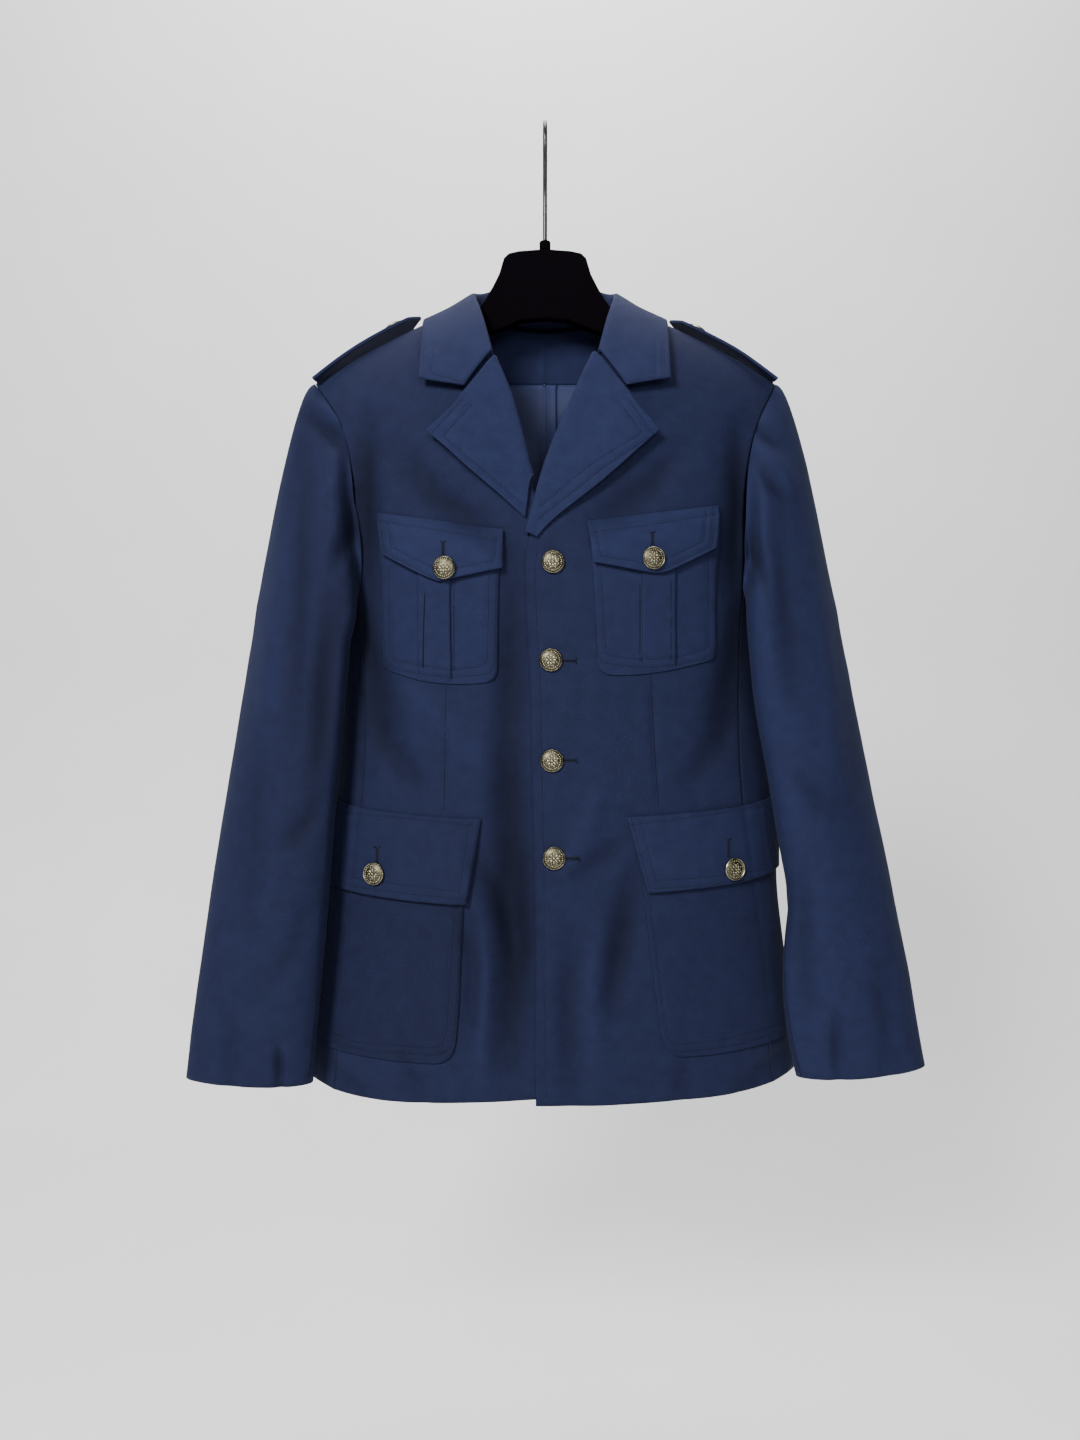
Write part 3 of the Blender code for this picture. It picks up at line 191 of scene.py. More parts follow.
def rounded(path: Path, radius: float) -> list[tuple[float, float]]:
    """Return a path with its inner corners rounded.

    Args:
        path: the path's corners.
        radius: how far from a corner the round starts.

    Returns:
        The longer list of corners.
    """
    made = [tuple(path[0])]
    for before, corner, after in zip(path, path[1:], path[2:]):
        a, b, c = np.array(before, float), np.array(corner, float), np.array(after, float)
        reach_in = min(radius, np.linalg.norm(a - b) / 2)
        reach_out = min(radius, np.linalg.norm(c - b) / 2)
        start = b + (a - b) / np.linalg.norm(a - b) * reach_in
        end = b + (c - b) / np.linalg.norm(c - b) * reach_out
        for t in (0.0, 0.25, 0.5, 0.75, 1.0):
            place = start * (1 - t) ** 2 + b * 2 * t * (1 - t) + end * t * t
            made.append((float(place[0]), float(place[1])))
    made.append(tuple(path[-1]))
    return made


@dataclass(frozen=True)
class Fold:
    """A soft trough along a path, or a ridge where its depth is below 0."""

    path: Path
    width: float
    depth: float
    face: Face = Face.FRONT

    def press(self, picture: np.ndarray) -> np.ndarray:
        """Return how deep the fold is, in metres, at picture points."""
        gap, share = nearest_on_path(picture, self.path)
        taper = 0.35 + 0.65 * np.sin(np.pi * share)
        return self.depth * 0.001 * taper * np.exp(-((gap / self.width) ** 2))


# The sleeves' middle line: heights and depths
SLEEVE_MIDDLE_Z = (-0.877, -0.773, -0.684, -0.594, -0.480, -0.300)
SLEEVE_MIDDLE_Y = (-0.058, -0.053, -0.045, -0.032, -0.018, 0.000)

# How far out that line stands at some heights, how far round the seam lies, in radians, and the half
# width and half depth of a sleeve and of the body, which the weave is laid round
SLEEVE_OUT_Z = (-0.88, -0.48, -0.24)
SLEEVE_OUT_X = (0.268, 0.230, 0.200)
SLEEVE_SEAM_TURN = 1.2
HALF_GIRTHS = {False: (0.055, 0.045), True: (0.20, 0.068)}

# How far a seam's dip goes down, in millimetres before the gain
SEAM_DIP = 0.30
# How deep a sewn row sinks, in metres, and half its width in picture points
ROW_DIP = 0.0007
ROW_WIDTH = 2.4
# Painted shade in the folds' hollows and painted light on their ridges: how much darker the cloth's colour
# is painted for each metre of hollow, and the least and most of its share
HOLLOW_SHADE = 58.0
SHADE_LIMITS = (0.42, 1.12)
# The seed of the cloth's slight unevenness, so that it is the same each time
UNEVEN_SEED = 11
# How many times deeper than listed the folds of a group are
FOLD_GAIN = {Group.BODY: 2.8, Group.SLEEVE_LEFT: 2.2, Group.SLEEVE_RIGHT: 2.2, Group.NONE: 0.0}
FOLDS: dict[Group, tuple[Fold, ...]] = {
    Group.BODY: (
        # Beside the armholes and across the chest
        Fold(((366, 420), (364, 500), (368, 570)), 12, 3.0),
        Fold(((354, 590), (368, 650), (392, 720)), 14, 2.4),
        Fold(((738, 430), (741, 510), (734, 580)), 12, 3.0),
        Fold(((746, 600), (734, 660), (712, 730)), 14, 2.4),
        Fold(((396, 450), (436, 494), (506, 546)), 15, 2.4),
        Fold(((678, 452), (650, 486), (598, 520)), 14, 2.2),
        Fold(((362, 470), (358, 620), (362, 770)), 24, 1.8),
        Fold(((742, 480), (748, 620), (746, 760)), 24, 2.0),
        # The hollow beside the front edge, from the chest to the hem
        Fold(((515, 560), (513, 640), (510, 720), (510, 800)), 16, 2.6),
        Fold(((508, 770), (514, 880), (514, 960), (510, 1060)), 19, 4.4),
        # Waist and skirt
        Fold(((365, 690), (384, 740), (420, 790)), 13, 2.2),
        Fold(((740, 690), (722, 740), (690, 780)), 13, 2.0),
        Fold(((410, 690), (450, 735), (496, 770)), 13, -1.6),
        Fold(((566, 880), (596, 862), (626, 842)), 8, 1.8),
        Fold(((600, 780), (590, 830), (566, 870)), 12, -1.5),
        Fold(((474, 850), (500, 900), (520, 950)), 12, 2.2),
        Fold(((462, 908), (474, 970), (470, 1040)), 9, 2.2),
        Fold(((486, 940), (482, 1000), (484, 1080)), 10, -1.4),
        Fold(((634, 880), (622, 940), (612, 1010)), 14, 2.8),
        Fold(((600, 930), (592, 1000), (600, 1090)), 13, -1.4),
        Fold(((574, 930), (568, 1000), (572, 1095)), 12, 1.6),
        Fold(((330, 1060), (345, 1080), (372, 1094)), 8, 1.4),
        Fold(((404, 1062), (416, 1082), (424, 1100)), 9, 1.2),
        Fold(((792, 1040), (770, 1066), (740, 1088)), 8, 1.4),
        Fold(((690, 1056), (684, 1076), (680, 1098)), 10, 1.1),
        # Seams of the side bodies and the darts
        Fold(((352, 560), (356, 640), (361, 720), (360, 805), (345, 930), (333, 1085)), 3.2, SEAM_DIP),
        Fold(((745, 560), (744, 640), (740, 700), (743, 800), (760, 930), (776, 1060)), 3.2, SEAM_DIP),
        Fold(((446, 683), (445, 745), (444, 812)), 3.0, 0.6),
        Fold(((651, 674), (654, 740), (658, 808)), 3.0, 0.6),
        # The back: its middle seam, drag lines from the shoulder blades, and the skirt's soft flutes
        Fold(((544, 315), (544, 700), (544, 1095)), 4.0, 0.9, Face.BACK),
        Fold(((360, 430), (400, 520), (430, 640)), 20, 2.2, Face.BACK),
        Fold(((728, 430), (692, 510), (664, 620)), 19, 2.0, Face.BACK),
        Fold(((470, 350), (500, 400), (540, 430)), 14, 1.6, Face.BACK),
        Fold(((622, 352), (590, 398), (550, 425)), 13, 1.4, Face.BACK),
        Fold(((420, 700), (440, 740), (500, 760)), 13, 1.7, Face.BACK),
        Fold(((668, 705), (640, 738), (580, 752)), 12, 1.5, Face.BACK),
        Fold(((430, 820), (420, 950), (408, 1090)), 20, 2.6, Face.BACK),
        Fold(((500, 860), (498, 980), (490, 1090)), 17, 1.7, Face.BACK),
        Fold(((610, 830), (618, 960), (628, 1090)), 19, 2.2, Face.BACK),
        Fold(((690, 880), (702, 980), (716, 1085)), 16, 1.8, Face.BACK),
    ),
    Group.SLEEVE_RIGHT: (
        Fold(((306, 415), (325, 430), (348, 452)), 8, 3.0),
        Fold(((318, 402), (334, 416), (350, 432)), 6, -1.2),
        Fold(((352, 495), (346, 530), (334, 566)), 8, 4.0),
        Fold(((344, 455), (345, 480), (341, 505)), 7, 1.8),
        Fold(((306, 411), (303, 500), (297, 620), (288, 740)), 10, 2.2),
        Fold(((280, 520), (268, 640), (256, 760)), 14, -1.6),
        Fold(((332, 590), (324, 680), (318, 780)), 12, 2.4),
        Fold(((328, 560), (314, 720), (300, 900)), 26, 1.8),
        Fold(((262, 720), (255, 820), (246, 930)), 12, 1.5),
        Fold(((322, 800), (300, 832), (272, 852)), 10, 1.8),
        Fold(((312, 900), (292, 950), (262, 990)), 12, 1.4),
        Fold(((279, 1050), (279, 1068), (280, 1086)), 5, 2.8),
        Fold(((232, 1010), (230, 1055), (232, 1090)), 9, 1.4),
        Fold(((250, 600), (300, 640), (340, 650)), 13, 2.2, Face.BACK),
        Fold(((258, 660), (300, 690), (336, 690)), 12, 1.8, Face.BACK),
        Fold(((300, 440), (290, 520), (296, 590)), 13, 1.8, Face.BACK),
        Fold(((250, 860), (240, 960), (236, 1070)), 13, 1.3, Face.BACK),
    ),
    Group.SLEEVE_LEFT: (
        Fold(((755, 426), (768, 436), (783, 450)), 7, 2.6),
        Fold(((758, 464), (772, 482), (788, 506)), 8, 2.8),
        Fold(((772, 452), (784, 468), (796, 488)), 7, -1.2),
        Fold(((747, 532), (756, 556), (768, 584)), 7, 3.6),
        Fold(((748, 568), (752, 576), (758, 584)), 3.5, 1.2),
        Fold(((778, 520), (788, 600), (798, 700)), 12, 2.4),
        Fold(((812, 520), (826, 640), (836, 760)), 13, -1.5),
        Fold(((842, 560), (852, 680), (862, 800)), 12, 1.6),
        Fold(((796, 760), (820, 800), (850, 820)), 11, 1.6),
        Fold(((800, 860), (806, 940), (812, 1010)), 10, 2.0),
        Fold(((838, 1020), (838, 1050), (840, 1082)), 7, 2.0),
        Fold(((880, 960), (886, 1020), (890, 1074)), 10, 1.5),
        Fold(((844, 600), (800, 636), (770, 650)), 13, 2.2, Face.BACK),
        Fold(((850, 668), (810, 694), (776, 700)), 12, 1.7, Face.BACK),
        Fold(((790, 440), (804, 520), (798, 600)), 13, 1.8, Face.BACK),
        Fold(((850, 860), (866, 960), (872, 1064)), 13, 1.3, Face.BACK),
    ),
    Group.NONE: (),
}


@dataclass(frozen=True)
class Pull:
    """A pull on the cloth near a path, towards +X and up where the numbers are above 0."""

    path: Path
    width: float
    shift: float
    climb: float = 0.0
    tapered: bool = True

    def move(self, picture: np.ndarray) -> np.ndarray:
        """Return the x, y and z moves, in metres, at picture points."""
        gap, share = nearest_on_path(picture, self.path)
        strength = 0.001 * np.exp(-((gap / self.width) ** 2))
        if self.tapered:
            strength *= np.minimum(1.0, 4.0 * share * (1 - share))
        return strength[:, None] * np.array([self.shift, 0.0, self.climb])


# The sleeves' inner edges, where they lie against the body
PULLS: dict[Group, tuple[Pull, ...]] = {
    Group.SLEEVE_LEFT: (
        Pull(((752, 560), (764, 700), (776, 800), (784, 880)), 24, -9.0),
        Pull(((786, 910), (790, 990), (796, 1090)), 18, -8.0),
    ),
    Group.SLEEVE_RIGHT: (Pull(((350, 500), (352, 560), (350, 640)), 16, 7.0),),
}


def front_share(points: np.ndarray, edge: np.ndarray | float = 0.018, blend: float = 0.030) -> np.ndarray:
    """Return 1 on the front, 0 behind, and shares between them.

    Args:
        points: rows of x, y, z.
        edge: the y where the front's share ends.
        blend: the depth over which it grows to 1.

    Returns:
        A share for each point.
    """
    return np.clip((edge - points[:, 1]) / blend, 0.0, 1.0)


def depth_of_folds(points: np.ndarray, group: Group) -> np.ndarray:
    """Return how far the folds press some points in, in metres, with ridges below 0.

    Args:
        points: rows of x, y, z.
        group: the set of folds.

    Returns:
        A depth for each point, towards +Y on the front and towards -Y on the back.
    """
    picture = VIEW.picture(points)
    if group in (Group.SLEEVE_LEFT, Group.SLEEVE_RIGHT):
        middle = np.interp(points[:, 2], SLEEVE_MIDDLE_Z, SLEEVE_MIDDLE_Y)
        front = front_share(points, middle + 0.012, 0.034)
    else:
        front = front_share(points)
    pressed = np.zeros(len(points))
    for fold in FOLDS[group]:
        weight = front if fold.face is Face.FRONT else 1.0 - front
        pressed -= fold.press(picture) * weight * FOLD_GAIN[group] * fold.face.value
    return pressed


# The cloth's slight unevenness: how many waves to the metre, and their size in metres
UNEVEN = ((13.0, 0.0009), (34.0, 0.0002))


def drape(points: np.ndarray, group: Group) -> np.ndarray:
    """Move cloth points into the folds of their group, in place, and return them."""
    picture = VIEW.picture(points)
    points[:, 1] += depth_of_folds(points, group)
    for pull in PULLS.get(group, ()):
        points += pull.move(picture)
    for point in points:
        here = Vector(point)
        point += sum((noise.noise_vector(here * scale) * size for scale, size in UNEVEN), Vector())
    return points


def shader_node(tree: bpy.types.NodeTree, kind: str, **sockets: float) -> bpy.types.Node:
    """Add a shader node and set some of its sockets.

    Args:
        tree: the material's nodes.
        kind: the node's type, without its prefix.
        sockets: values by socket name, with _ for a space.

    Returns:
        The node.
    """
    made = tree.nodes.new("ShaderNode" + kind)
    for name, value in sockets.items():
        made.inputs[name.replace("_", " ")].default_value = value
    return made


def grain_of(tree: bpy.types.NodeTree, scale: float, detail: float) -> bpy.types.NodeSocket:
    """Return the value of a noise that is fixed to the piece, from its scale and detail."""
    place = shader_node(tree, "TexCoord")
    noisy = shader_node(tree, "TexNoise", Scale=scale, Detail=detail)
    tree.links.new(place.outputs["Object"], noisy.inputs["Vector"])
    return noisy.outputs["Fac"]


def mixed(tree: bpy.types.NodeTree, source: bpy.types.NodeSocket, share: float,
          added: bpy.types.NodeSocket) -> bpy.types.NodeSocket:
    """Return a share of one value plus another value."""
    made = shader_node(tree, "Math")
    made.operation = "MULTIPLY_ADD"
    made.inputs[1].default_value = share
    tree.links.new(source, made.inputs[0])
    tree.links.new(added, made.inputs[2])
    return made.outputs["Value"]


def relief(tree: bpy.types.NodeTree, height: bpy.types.NodeSocket, strength: float, depth: float) -> None:
    """Give the material's shader a bump from a height.

    Args:
        tree: the material's nodes.
        height: the value that makes the relief.
        strength: how strong it is.
        depth: how deep it is, in metres.
    """
    bump = shader_node(tree, "Bump", Strength=strength, Distance=depth)
    tree.links.new(height, bump.inputs["Height"])
    tree.links.new(bump.outputs["Normal"], tree.nodes["Principled BSDF"].inputs["Normal"])


def graded(tree: bpy.types.NodeTree, source: bpy.types.NodeSocket, ends: tuple[float, float], shade: Colour,
           colour: Colour) -> bpy.types.NodeSocket:
    """Return a colour between two.

    Args:
        tree: the material's nodes.
        source: the value that picks the colour.
        ends: the values that give the shade and the colour.
        shade: the dark colour.
        colour: the light colour.

    Returns:
        The socket of the colour.
    """
    tones = shader_node(tree, "ValToRGB")
    for element, position, value in zip(tones.color_ramp.elements, ends, (shade, colour)):
        element.position = position
        element.color = (*value, 1.0)
    tree.links.new(source, tones.inputs["Fac"])
    return tones.outputs["Color"]


@dataclass(frozen=True)
class TwillFinish:
    """Matte woven cloth with a fine diagonal rib, a little fuzz and sheen."""

    name: str
    colour: Colour
    shade: Colour
    roughness: float = 0.82
    sheen: float = 0.03
    pitch: float = 0.00125
    bump: float = 0.35
    rib_angle: float = 52.0
    fuzz_scale: float = 620.0
    mottle_scale: float = 90.0
    depth: float = 0.00035

    def material(self) -> bpy.types.Material:
        """Return the cloth's material, made once."""
        made = bpy.data.materials.get(self.name)
        if made:
            return made
        made = bpy.data.materials.new(self.name)
        made.use_nodes = True
        tree = made.node_tree
        shader = tree.nodes["Principled BSDF"]
        shader.inputs["Roughness"].default_value = self.roughness
        shader.inputs["Specular IOR Level"].default_value = 0.10
        shader.inputs["Sheen Weight"].default_value = self.sheen
        shader.inputs["Sheen Roughness"].default_value = 0.45
        shader.inputs["Sheen Tint"].default_value = (0.45, 0.55, 0.95, 1.0)
        rib = self.rib(tree)
        relief(tree, mixed(tree, grain_of(tree, self.fuzz_scale, 3.0), 0.7, rib), self.bump, self.depth)
        blend = mixed(tree, rib, 0.45, grain_of(tree, self.mottle_scale, 2.0))
        tones = graded(tree, blend, (0.0, 1.0), self.shade, self.colour)
        # The colour is scaled by each point's painted light and shade
        tone = shader_node(tree, "Attribute")
        tone.attribute_name = "tone"
        shaded = shader_node(tree, "VectorMath")
        shaded.operation = "SCALE"
        tree.links.new(tones, shaded.inputs[0])
        tree.links.new(tone.outputs["Fac"], shaded.inputs["Scale"])
        tree.links.new(shaded.outputs["Vector"], shader.inputs["Base Color"])
        return made

    def rib(self, tree: bpy.types.NodeTree) -> bpy.types.NodeSocket:
        """Return the height of the diagonal rib, laid along the cloth's own coordinates."""
        place = shader_node(tree, "TexCoord")
        turn = shader_node(tree, "Mapping", Rotation=(0.0, 0.0, math.radians(self.rib_angle)))
        tree.links.new(place.outputs["UV"], turn.inputs["Vector"])
        # A wave of scale 1 has a pitch of 0.314
        rib = shader_node(tree, "TexWave", Scale=0.314 / self.pitch, Distortion=0.9, Detail=1.0)
        rib.wave_type = "BANDS"
        rib.bands_direction = "X"
        tree.links.new(turn.outputs["Vector"], rib.inputs["Vector"])
        return rib.outputs["Fac"]


@dataclass(frozen=True)
class PlainFinish:
    """A metal, flock or thread finish with fine grain."""

    name: str
    colour: Colour
    shade: Colour
    roughness: float
    metallic: float = 0.0
    grain: float = 400.0
    bump: float = 0.2
    depth: float = 0.0002
    specular: float = 0.5

    def material(self) -> bpy.types.Material:
        """Return the finish's material, made once."""
        made = bpy.data.materials.get(self.name)
        if made:
            return made
        made = bpy.data.materials.new(self.name)
        made.use_nodes = True
        tree = made.node_tree
        shader = tree.nodes["Principled BSDF"]
        shader.inputs["Metallic"].default_value = self.metallic
        shader.inputs["Specular IOR Level"].default_value = self.specular
        grain = grain_of(tree, self.grain, 4.0)
        tones = graded(tree, grain, (0.32, 0.68), self.shade, self.colour)
        tree.links.new(tones, shader.inputs["Base Color"])
        roughest = min(self.roughness * 1.15, 1.0)
        gloss = shader_node(tree, "MapRange", To_Min=self.roughness * 0.85, To_Max=roughest)
        tree.links.new(grain, gloss.inputs["Value"])
        tree.links.new(gloss.outputs["Result"], shader.inputs["Roughness"])
        relief(tree, grain, self.bump, self.depth)
        return made


NAVY = TwillFinish("woven_navy", (0.0110, 0.0148, 0.0455), (0.0059, 0.0083, 0.0259))
LINING = TwillFinish(
    "woven_lining", (0.0210, 0.0280, 0.0760), (0.0140, 0.0185, 0.0520), 0.55, 0.02, 0.0009, 0.2)
THREAD = PlainFinish(
    "navy_thread", (0.0042, 0.0056, 0.0170), (0.0025, 0.0034, 0.0105), 0.6, 0.0, 1500.0, 0.4, 0.0002, 0.2)
# Dark rods: seam lines on the darts, and painted shadow in the pleats' folds and the buttonholes' slits
SEAM_AND_SHADOW_LINE = PlainFinish(
    "seam_shadow", (0.0040, 0.0055, 0.0130), (0.0025, 0.0035, 0.0080), 0.9, 0.0, 400.0, 0.2, 0.0002, 0.1)
BRASS = PlainFinish("aged_brass", (0.40, 0.37, 0.25), (0.10, 0.09, 0.055), 0.34, 1.0, 700.0, 0.5, 0.0003)
FLOCK = PlainFinish(
    "black_flock", (0.0026, 0.0018, 0.0030), (0.0008, 0.0005, 0.0009), 0.95, 0.0, 1800.0, 0.8, 0.0004, 0.02)
PATINA = PlainFinish(
    "brass_patina", (0.115, 0.105, 0.070), (0.040, 0.036, 0.024), 0.42, 1.0, 700.0, 0.4, 0.0002)
WIRE = PlainFinish("dark_wire", (0.060, 0.058, 0.062), (0.030, 0.029, 0.032), 0.35, 0.9, 500.0, 0.1, 0.0001)
STUDIO = PlainFinish("pale_studio", (0.80, 0.80, 0.81), (0.77, 0.77, 0.78), 0.9, 0.0, 3.0, 0.0)


def pick_only(piece: bpy.types.Object) -> None:
    """Deselect all and make one object the selected and active one."""
    bpy.ops.object.select_all(action="DESELECT")
    piece.select_set(True)
    bpy.context.view_layer.objects.active = piece


def object_from(name: str, mesh: bpy.types.Mesh, finish: TwillFinish | PlainFinish) -> bpy.types.Object:
    """Link a mesh as an object with one finish, smooth all over.

    Args:
        name: the object's name.
        mesh: its mesh.
        finish: its finish.

    Returns:
        The object.
    """
    piece = bpy.data.objects.new(name, mesh)
    bpy.context.scene.collection.objects.link(piece)
    mesh.materials.clear()
    mesh.materials.append(finish.material())
    pick_only(piece)
    bpy.ops.object.shade_smooth()
    return piece


def points_of(piece: bpy.types.Object) -> np.ndarray:
    """Return a mesh's points as rows of x, y, z."""
    flat = np.empty(len(piece.data.vertices) * 3)
    piece.data.vertices.foreach_get("co", flat)
    return flat.reshape(-1, 3)


def set_points(piece: bpy.types.Object, points: np.ndarray) -> None:
    """Write a mesh's points."""
    piece.data.vertices.foreach_set("co", points.ravel())
    piece.data.update()


@dataclass
class Cut:
    """The flat size that a piece of cloth was cut to, in metres."""

    width: float
    length: float
    area: float


# A rim face is at most this many times the cloth's thickness wide, and lies between two faces whose
# normals' product is below this. Its corners are kept where they turn by more than these degrees.
RIM_WIDTH = 1.6
RIM_SIDES = -0.80
RIM_CORNER = 50.0
RIM_TURN = 30.0


@dataclass
class ClothPiece:
    """One cut piece: the solid's form with more points, its folds and its finish."""

    node: str
    cut: Cut
    group: Group = Group.BODY
    levels: int = 3
    sharp: float = 180.0
    held: str = "hung"
    rests_on: tuple[str, ...] = ("hanger_body",)
    finish: TwillFinish = NAVY
    slot: str = "navy_twill"
    thick: float = 0.0018
    # A share of the cloth's colour for the whole piece: painted light and shade
    tone: float = 1.0
    hinges: tuple[Path, ...] = ()
    reach: float = 60.0
    lift: float = 0.0
    pulls: tuple[Pull, ...] = ()
    rows: list[Path] = field(default_factory=list)
    piece: bpy.types.Object | None = None
    trims: list[bpy.types.Object] = field(default_factory=list)

    def build(self, nodes: dict[str, bpy.types.Object]) -> bpy.types.Object:
        """Make the piece from its solid and put the folds and sewn dips in.

        Args:
            nodes: the frame's solids by name.

        Returns:
            The cloth.
        """
        mesh = nodes[self.node].data.copy()
        self.piece = object_from(self.node + "_cloth", mesh, self.finish)
        bpy.ops.object.mode_set(mode="EDIT")
        bpy.ops.mesh.select_all(action="SELECT")
        bpy.ops.mesh.customdata_custom_splitnormals_clear()
        bpy.ops.mesh.remove_doubles(threshold=0.00002)
        bpy.ops.mesh.tris_convert_to_quads(face_threshold=math.radians(50), shape_threshold=math.radians(60))
        bpy.ops.object.mode_set(mode="OBJECT")
        self.hold_rim()
        rounder = self.piece.modifiers.new("Subdivision", "SUBSURF")
        rounder.levels = self.levels
        rounder.render_levels = self.levels
        bpy.ops.object.modifier_apply(modifier=rounder.name)
        self.press()
        self.lay_out()
        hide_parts(self.node)
        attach(self.piece, "root")
        return self.piece

    def hold_rim(self) -> None:
        """Keep the cut edge's two corners sharp through the subdivision."""
        shape = bmesh.new()
        shape.from_mesh(self.piece.data)
        crease = shape.edges.layers.float.get("crease_edge") or shape.edges.layers.float.new("crease_edge")
        rim = set()
        for face in shape.faces:
            width = face.calc_area() / max(edge.calc_length() for edge in face.edges)
            if width > self.thick * RIM_WIDTH:
                continue
            beside = [other for edge in face.edges for other in edge.link_faces if other is not face]
            if any(a.normal.dot(b.normal) < RIM_SIDES for a in beside for b in beside):
                rim.add(face)
        for edge in shape.edges:
            if len(edge.link_faces) != 2:
                continue
            held = [face in rim for face in edge.link_faces]
            angle = math.degrees(edge.calc_face_angle(0.0))
            corner = (any(held) and not all(held) and angle > RIM_CORNER) or (all(held) and angle > RIM_TURN)
            if corner or angle > self.sharp:
                edge[crease] = 1.0
        shape.to_mesh(self.piece.data)
        shape.free()

    def raised(self, points: np.ndarray) -> np.ndarray:
        """Return how far the piece stands off at some points, more so away from its hinge lines."""
        picture = VIEW.picture(points)
        gap = np.min([nearest_on_path(picture, hinge)[0] for hinge in self.hinges], axis=0)
        share = np.clip(gap / self.reach, 0.0, 1.0)
        return self.lift * share * share * (3 - 2 * share) * front_share(points)

    def press(self) -> None:
        """Paint shade into the folds' hollows and light onto their ridges, then move the points off at their
        free edges, into the folds and into the dips along the sewn rows.
        """
        points = points_of(self.piece)
        rise = self.raised(points) if self.hinges else 0.0
        # Painted shade: the colour is darkened in the folds' hollows and lightened on their ridges, times
        # the piece's own share, and kept on the points
        hollow = depth_of_folds(points, self.group) * np.where(points[:, 1] > 0.010, -1.0, 1.0)
        shade = self.tone * np.clip(1.0 - HOLLOW_SHADE * hollow, *SHADE_LIMITS)
        tones = self.piece.data.attributes.new("tone", "FLOAT", "POINT")
        tones.data.foreach_set("value", shade.astype(np.float32))
        for pull in self.pulls:
            points += pull.move(VIEW.picture(points))
        points = drape(points, self.group)
        points[:, 1] -= rise
        picture = VIEW.picture(points)
        for row in self.rows:
            gap, _ = nearest_on_path(picture, row)
            points[:, 1] += ROW_DIP * np.exp(-((gap / ROW_WIDTH) ** 2)) * front_share(points)
        set_points(self.piece, points)

    def lay_out(self) -> None:
        """Write the cloth's own coordinates, in metres round and down, for the weave."""
        points = points_of(self.piece)
        side = {Group.SLEEVE_LEFT: 1.0, Group.SLEEVE_RIGHT: -1.0}.get(self.group, 0.0)
        centre_y = np.interp(points[:, 2], SLEEVE_MIDDLE_Z, SLEEVE_MIDDLE_Y) * abs(side)
        centre_x = side * np.interp(points[:, 2], SLEEVE_OUT_Z, SLEEVE_OUT_X)
        turn = np.arctan2(points[:, 0] - centre_x, -(points[:, 1] - centre_y))
        if side:
            turn = np.arctan2(np.sin(turn - side * SLEEVE_SEAM_TURN), np.cos(turn - side * SLEEVE_SEAM_TURN))
        samples = np.linspace(-math.pi, math.pi, 361)
        wide, deep = HALF_GIRTHS[self.group is Group.BODY]
        radius = wide * deep / np.hypot(deep * np.sin(samples), wide * np.cos(samples))
        steps = radius[:-1] * np.diff(samples)
        if self.group is Group.BODY:
            steps = np.hypot(np.diff(radius * np.sin(samples)), np.diff(radius * np.cos(samples)))
        across = np.interp(turn, samples, np.concatenate([[0.0], np.cumsum(steps)]))
        layers = self.piece.data.uv_layers
        layer = layers.get("cloth") or layers.new(name="cloth")
        corners = np.empty(len(self.piece.data.loops), dtype=np.int64)
        self.piece.data.loops.foreach_get("vertex_index", corners)
        plan = np.stack([across[corners], points[corners, 2]], axis=1)
        layer.data.foreach_set("uv", plan.ravel())
        for other in [old for old in layers if old.name != "cloth"]:
            layers.remove(other)
        layers["cloth"].active_render = True

    def declare(self) -> None:
        """Do nothing; the cut is only kept on the piece."""


class Surface:
    """The outer surface of some pieces, for laying trims on."""

    def __init__(self, pieces: Sequence[bpy.types.Object]) -> None:
        """Gather the pieces' faces in one tree."""
        points: list[Vector] = []
        faces: list[tuple[int, ...]] = []
        for piece in pieces:
            start = len(points)
            points.extend(vertex.co.copy() for vertex in piece.data.vertices)
            faces.extend(tuple(start + index for index in face.vertices) for face in piece.data.polygons)
        self.tree = BVHTree.FromPolygons(points, faces)

    def meet(self, u: float, v: float, face: Face = Face.FRONT) -> tuple[Vector, Vector] | None:
        """Return the place and normal that a picture point shows, if any."""
        start, direction = VIEW.ray(u, v, face)
        place, normal, _, _ = self.tree.ray_cast(start, direction)
        if place is None:
            return None
        if normal.dot(direction) > 0:
            normal = -normal
        return place, normal


# A stitch's ends as shares of the pitch, its heights over the cloth and its radii, and the longest
# step from one stitch to the next, in metres
STITCH_ENDS = (0.12, 0.86)
STITCH_HEIGHTS = (-0.00010, 0.00020, -0.00010)
STITCH_RADII = (0.00016, 0.00034, 0.00016)
STITCH_JUMP = 0.006


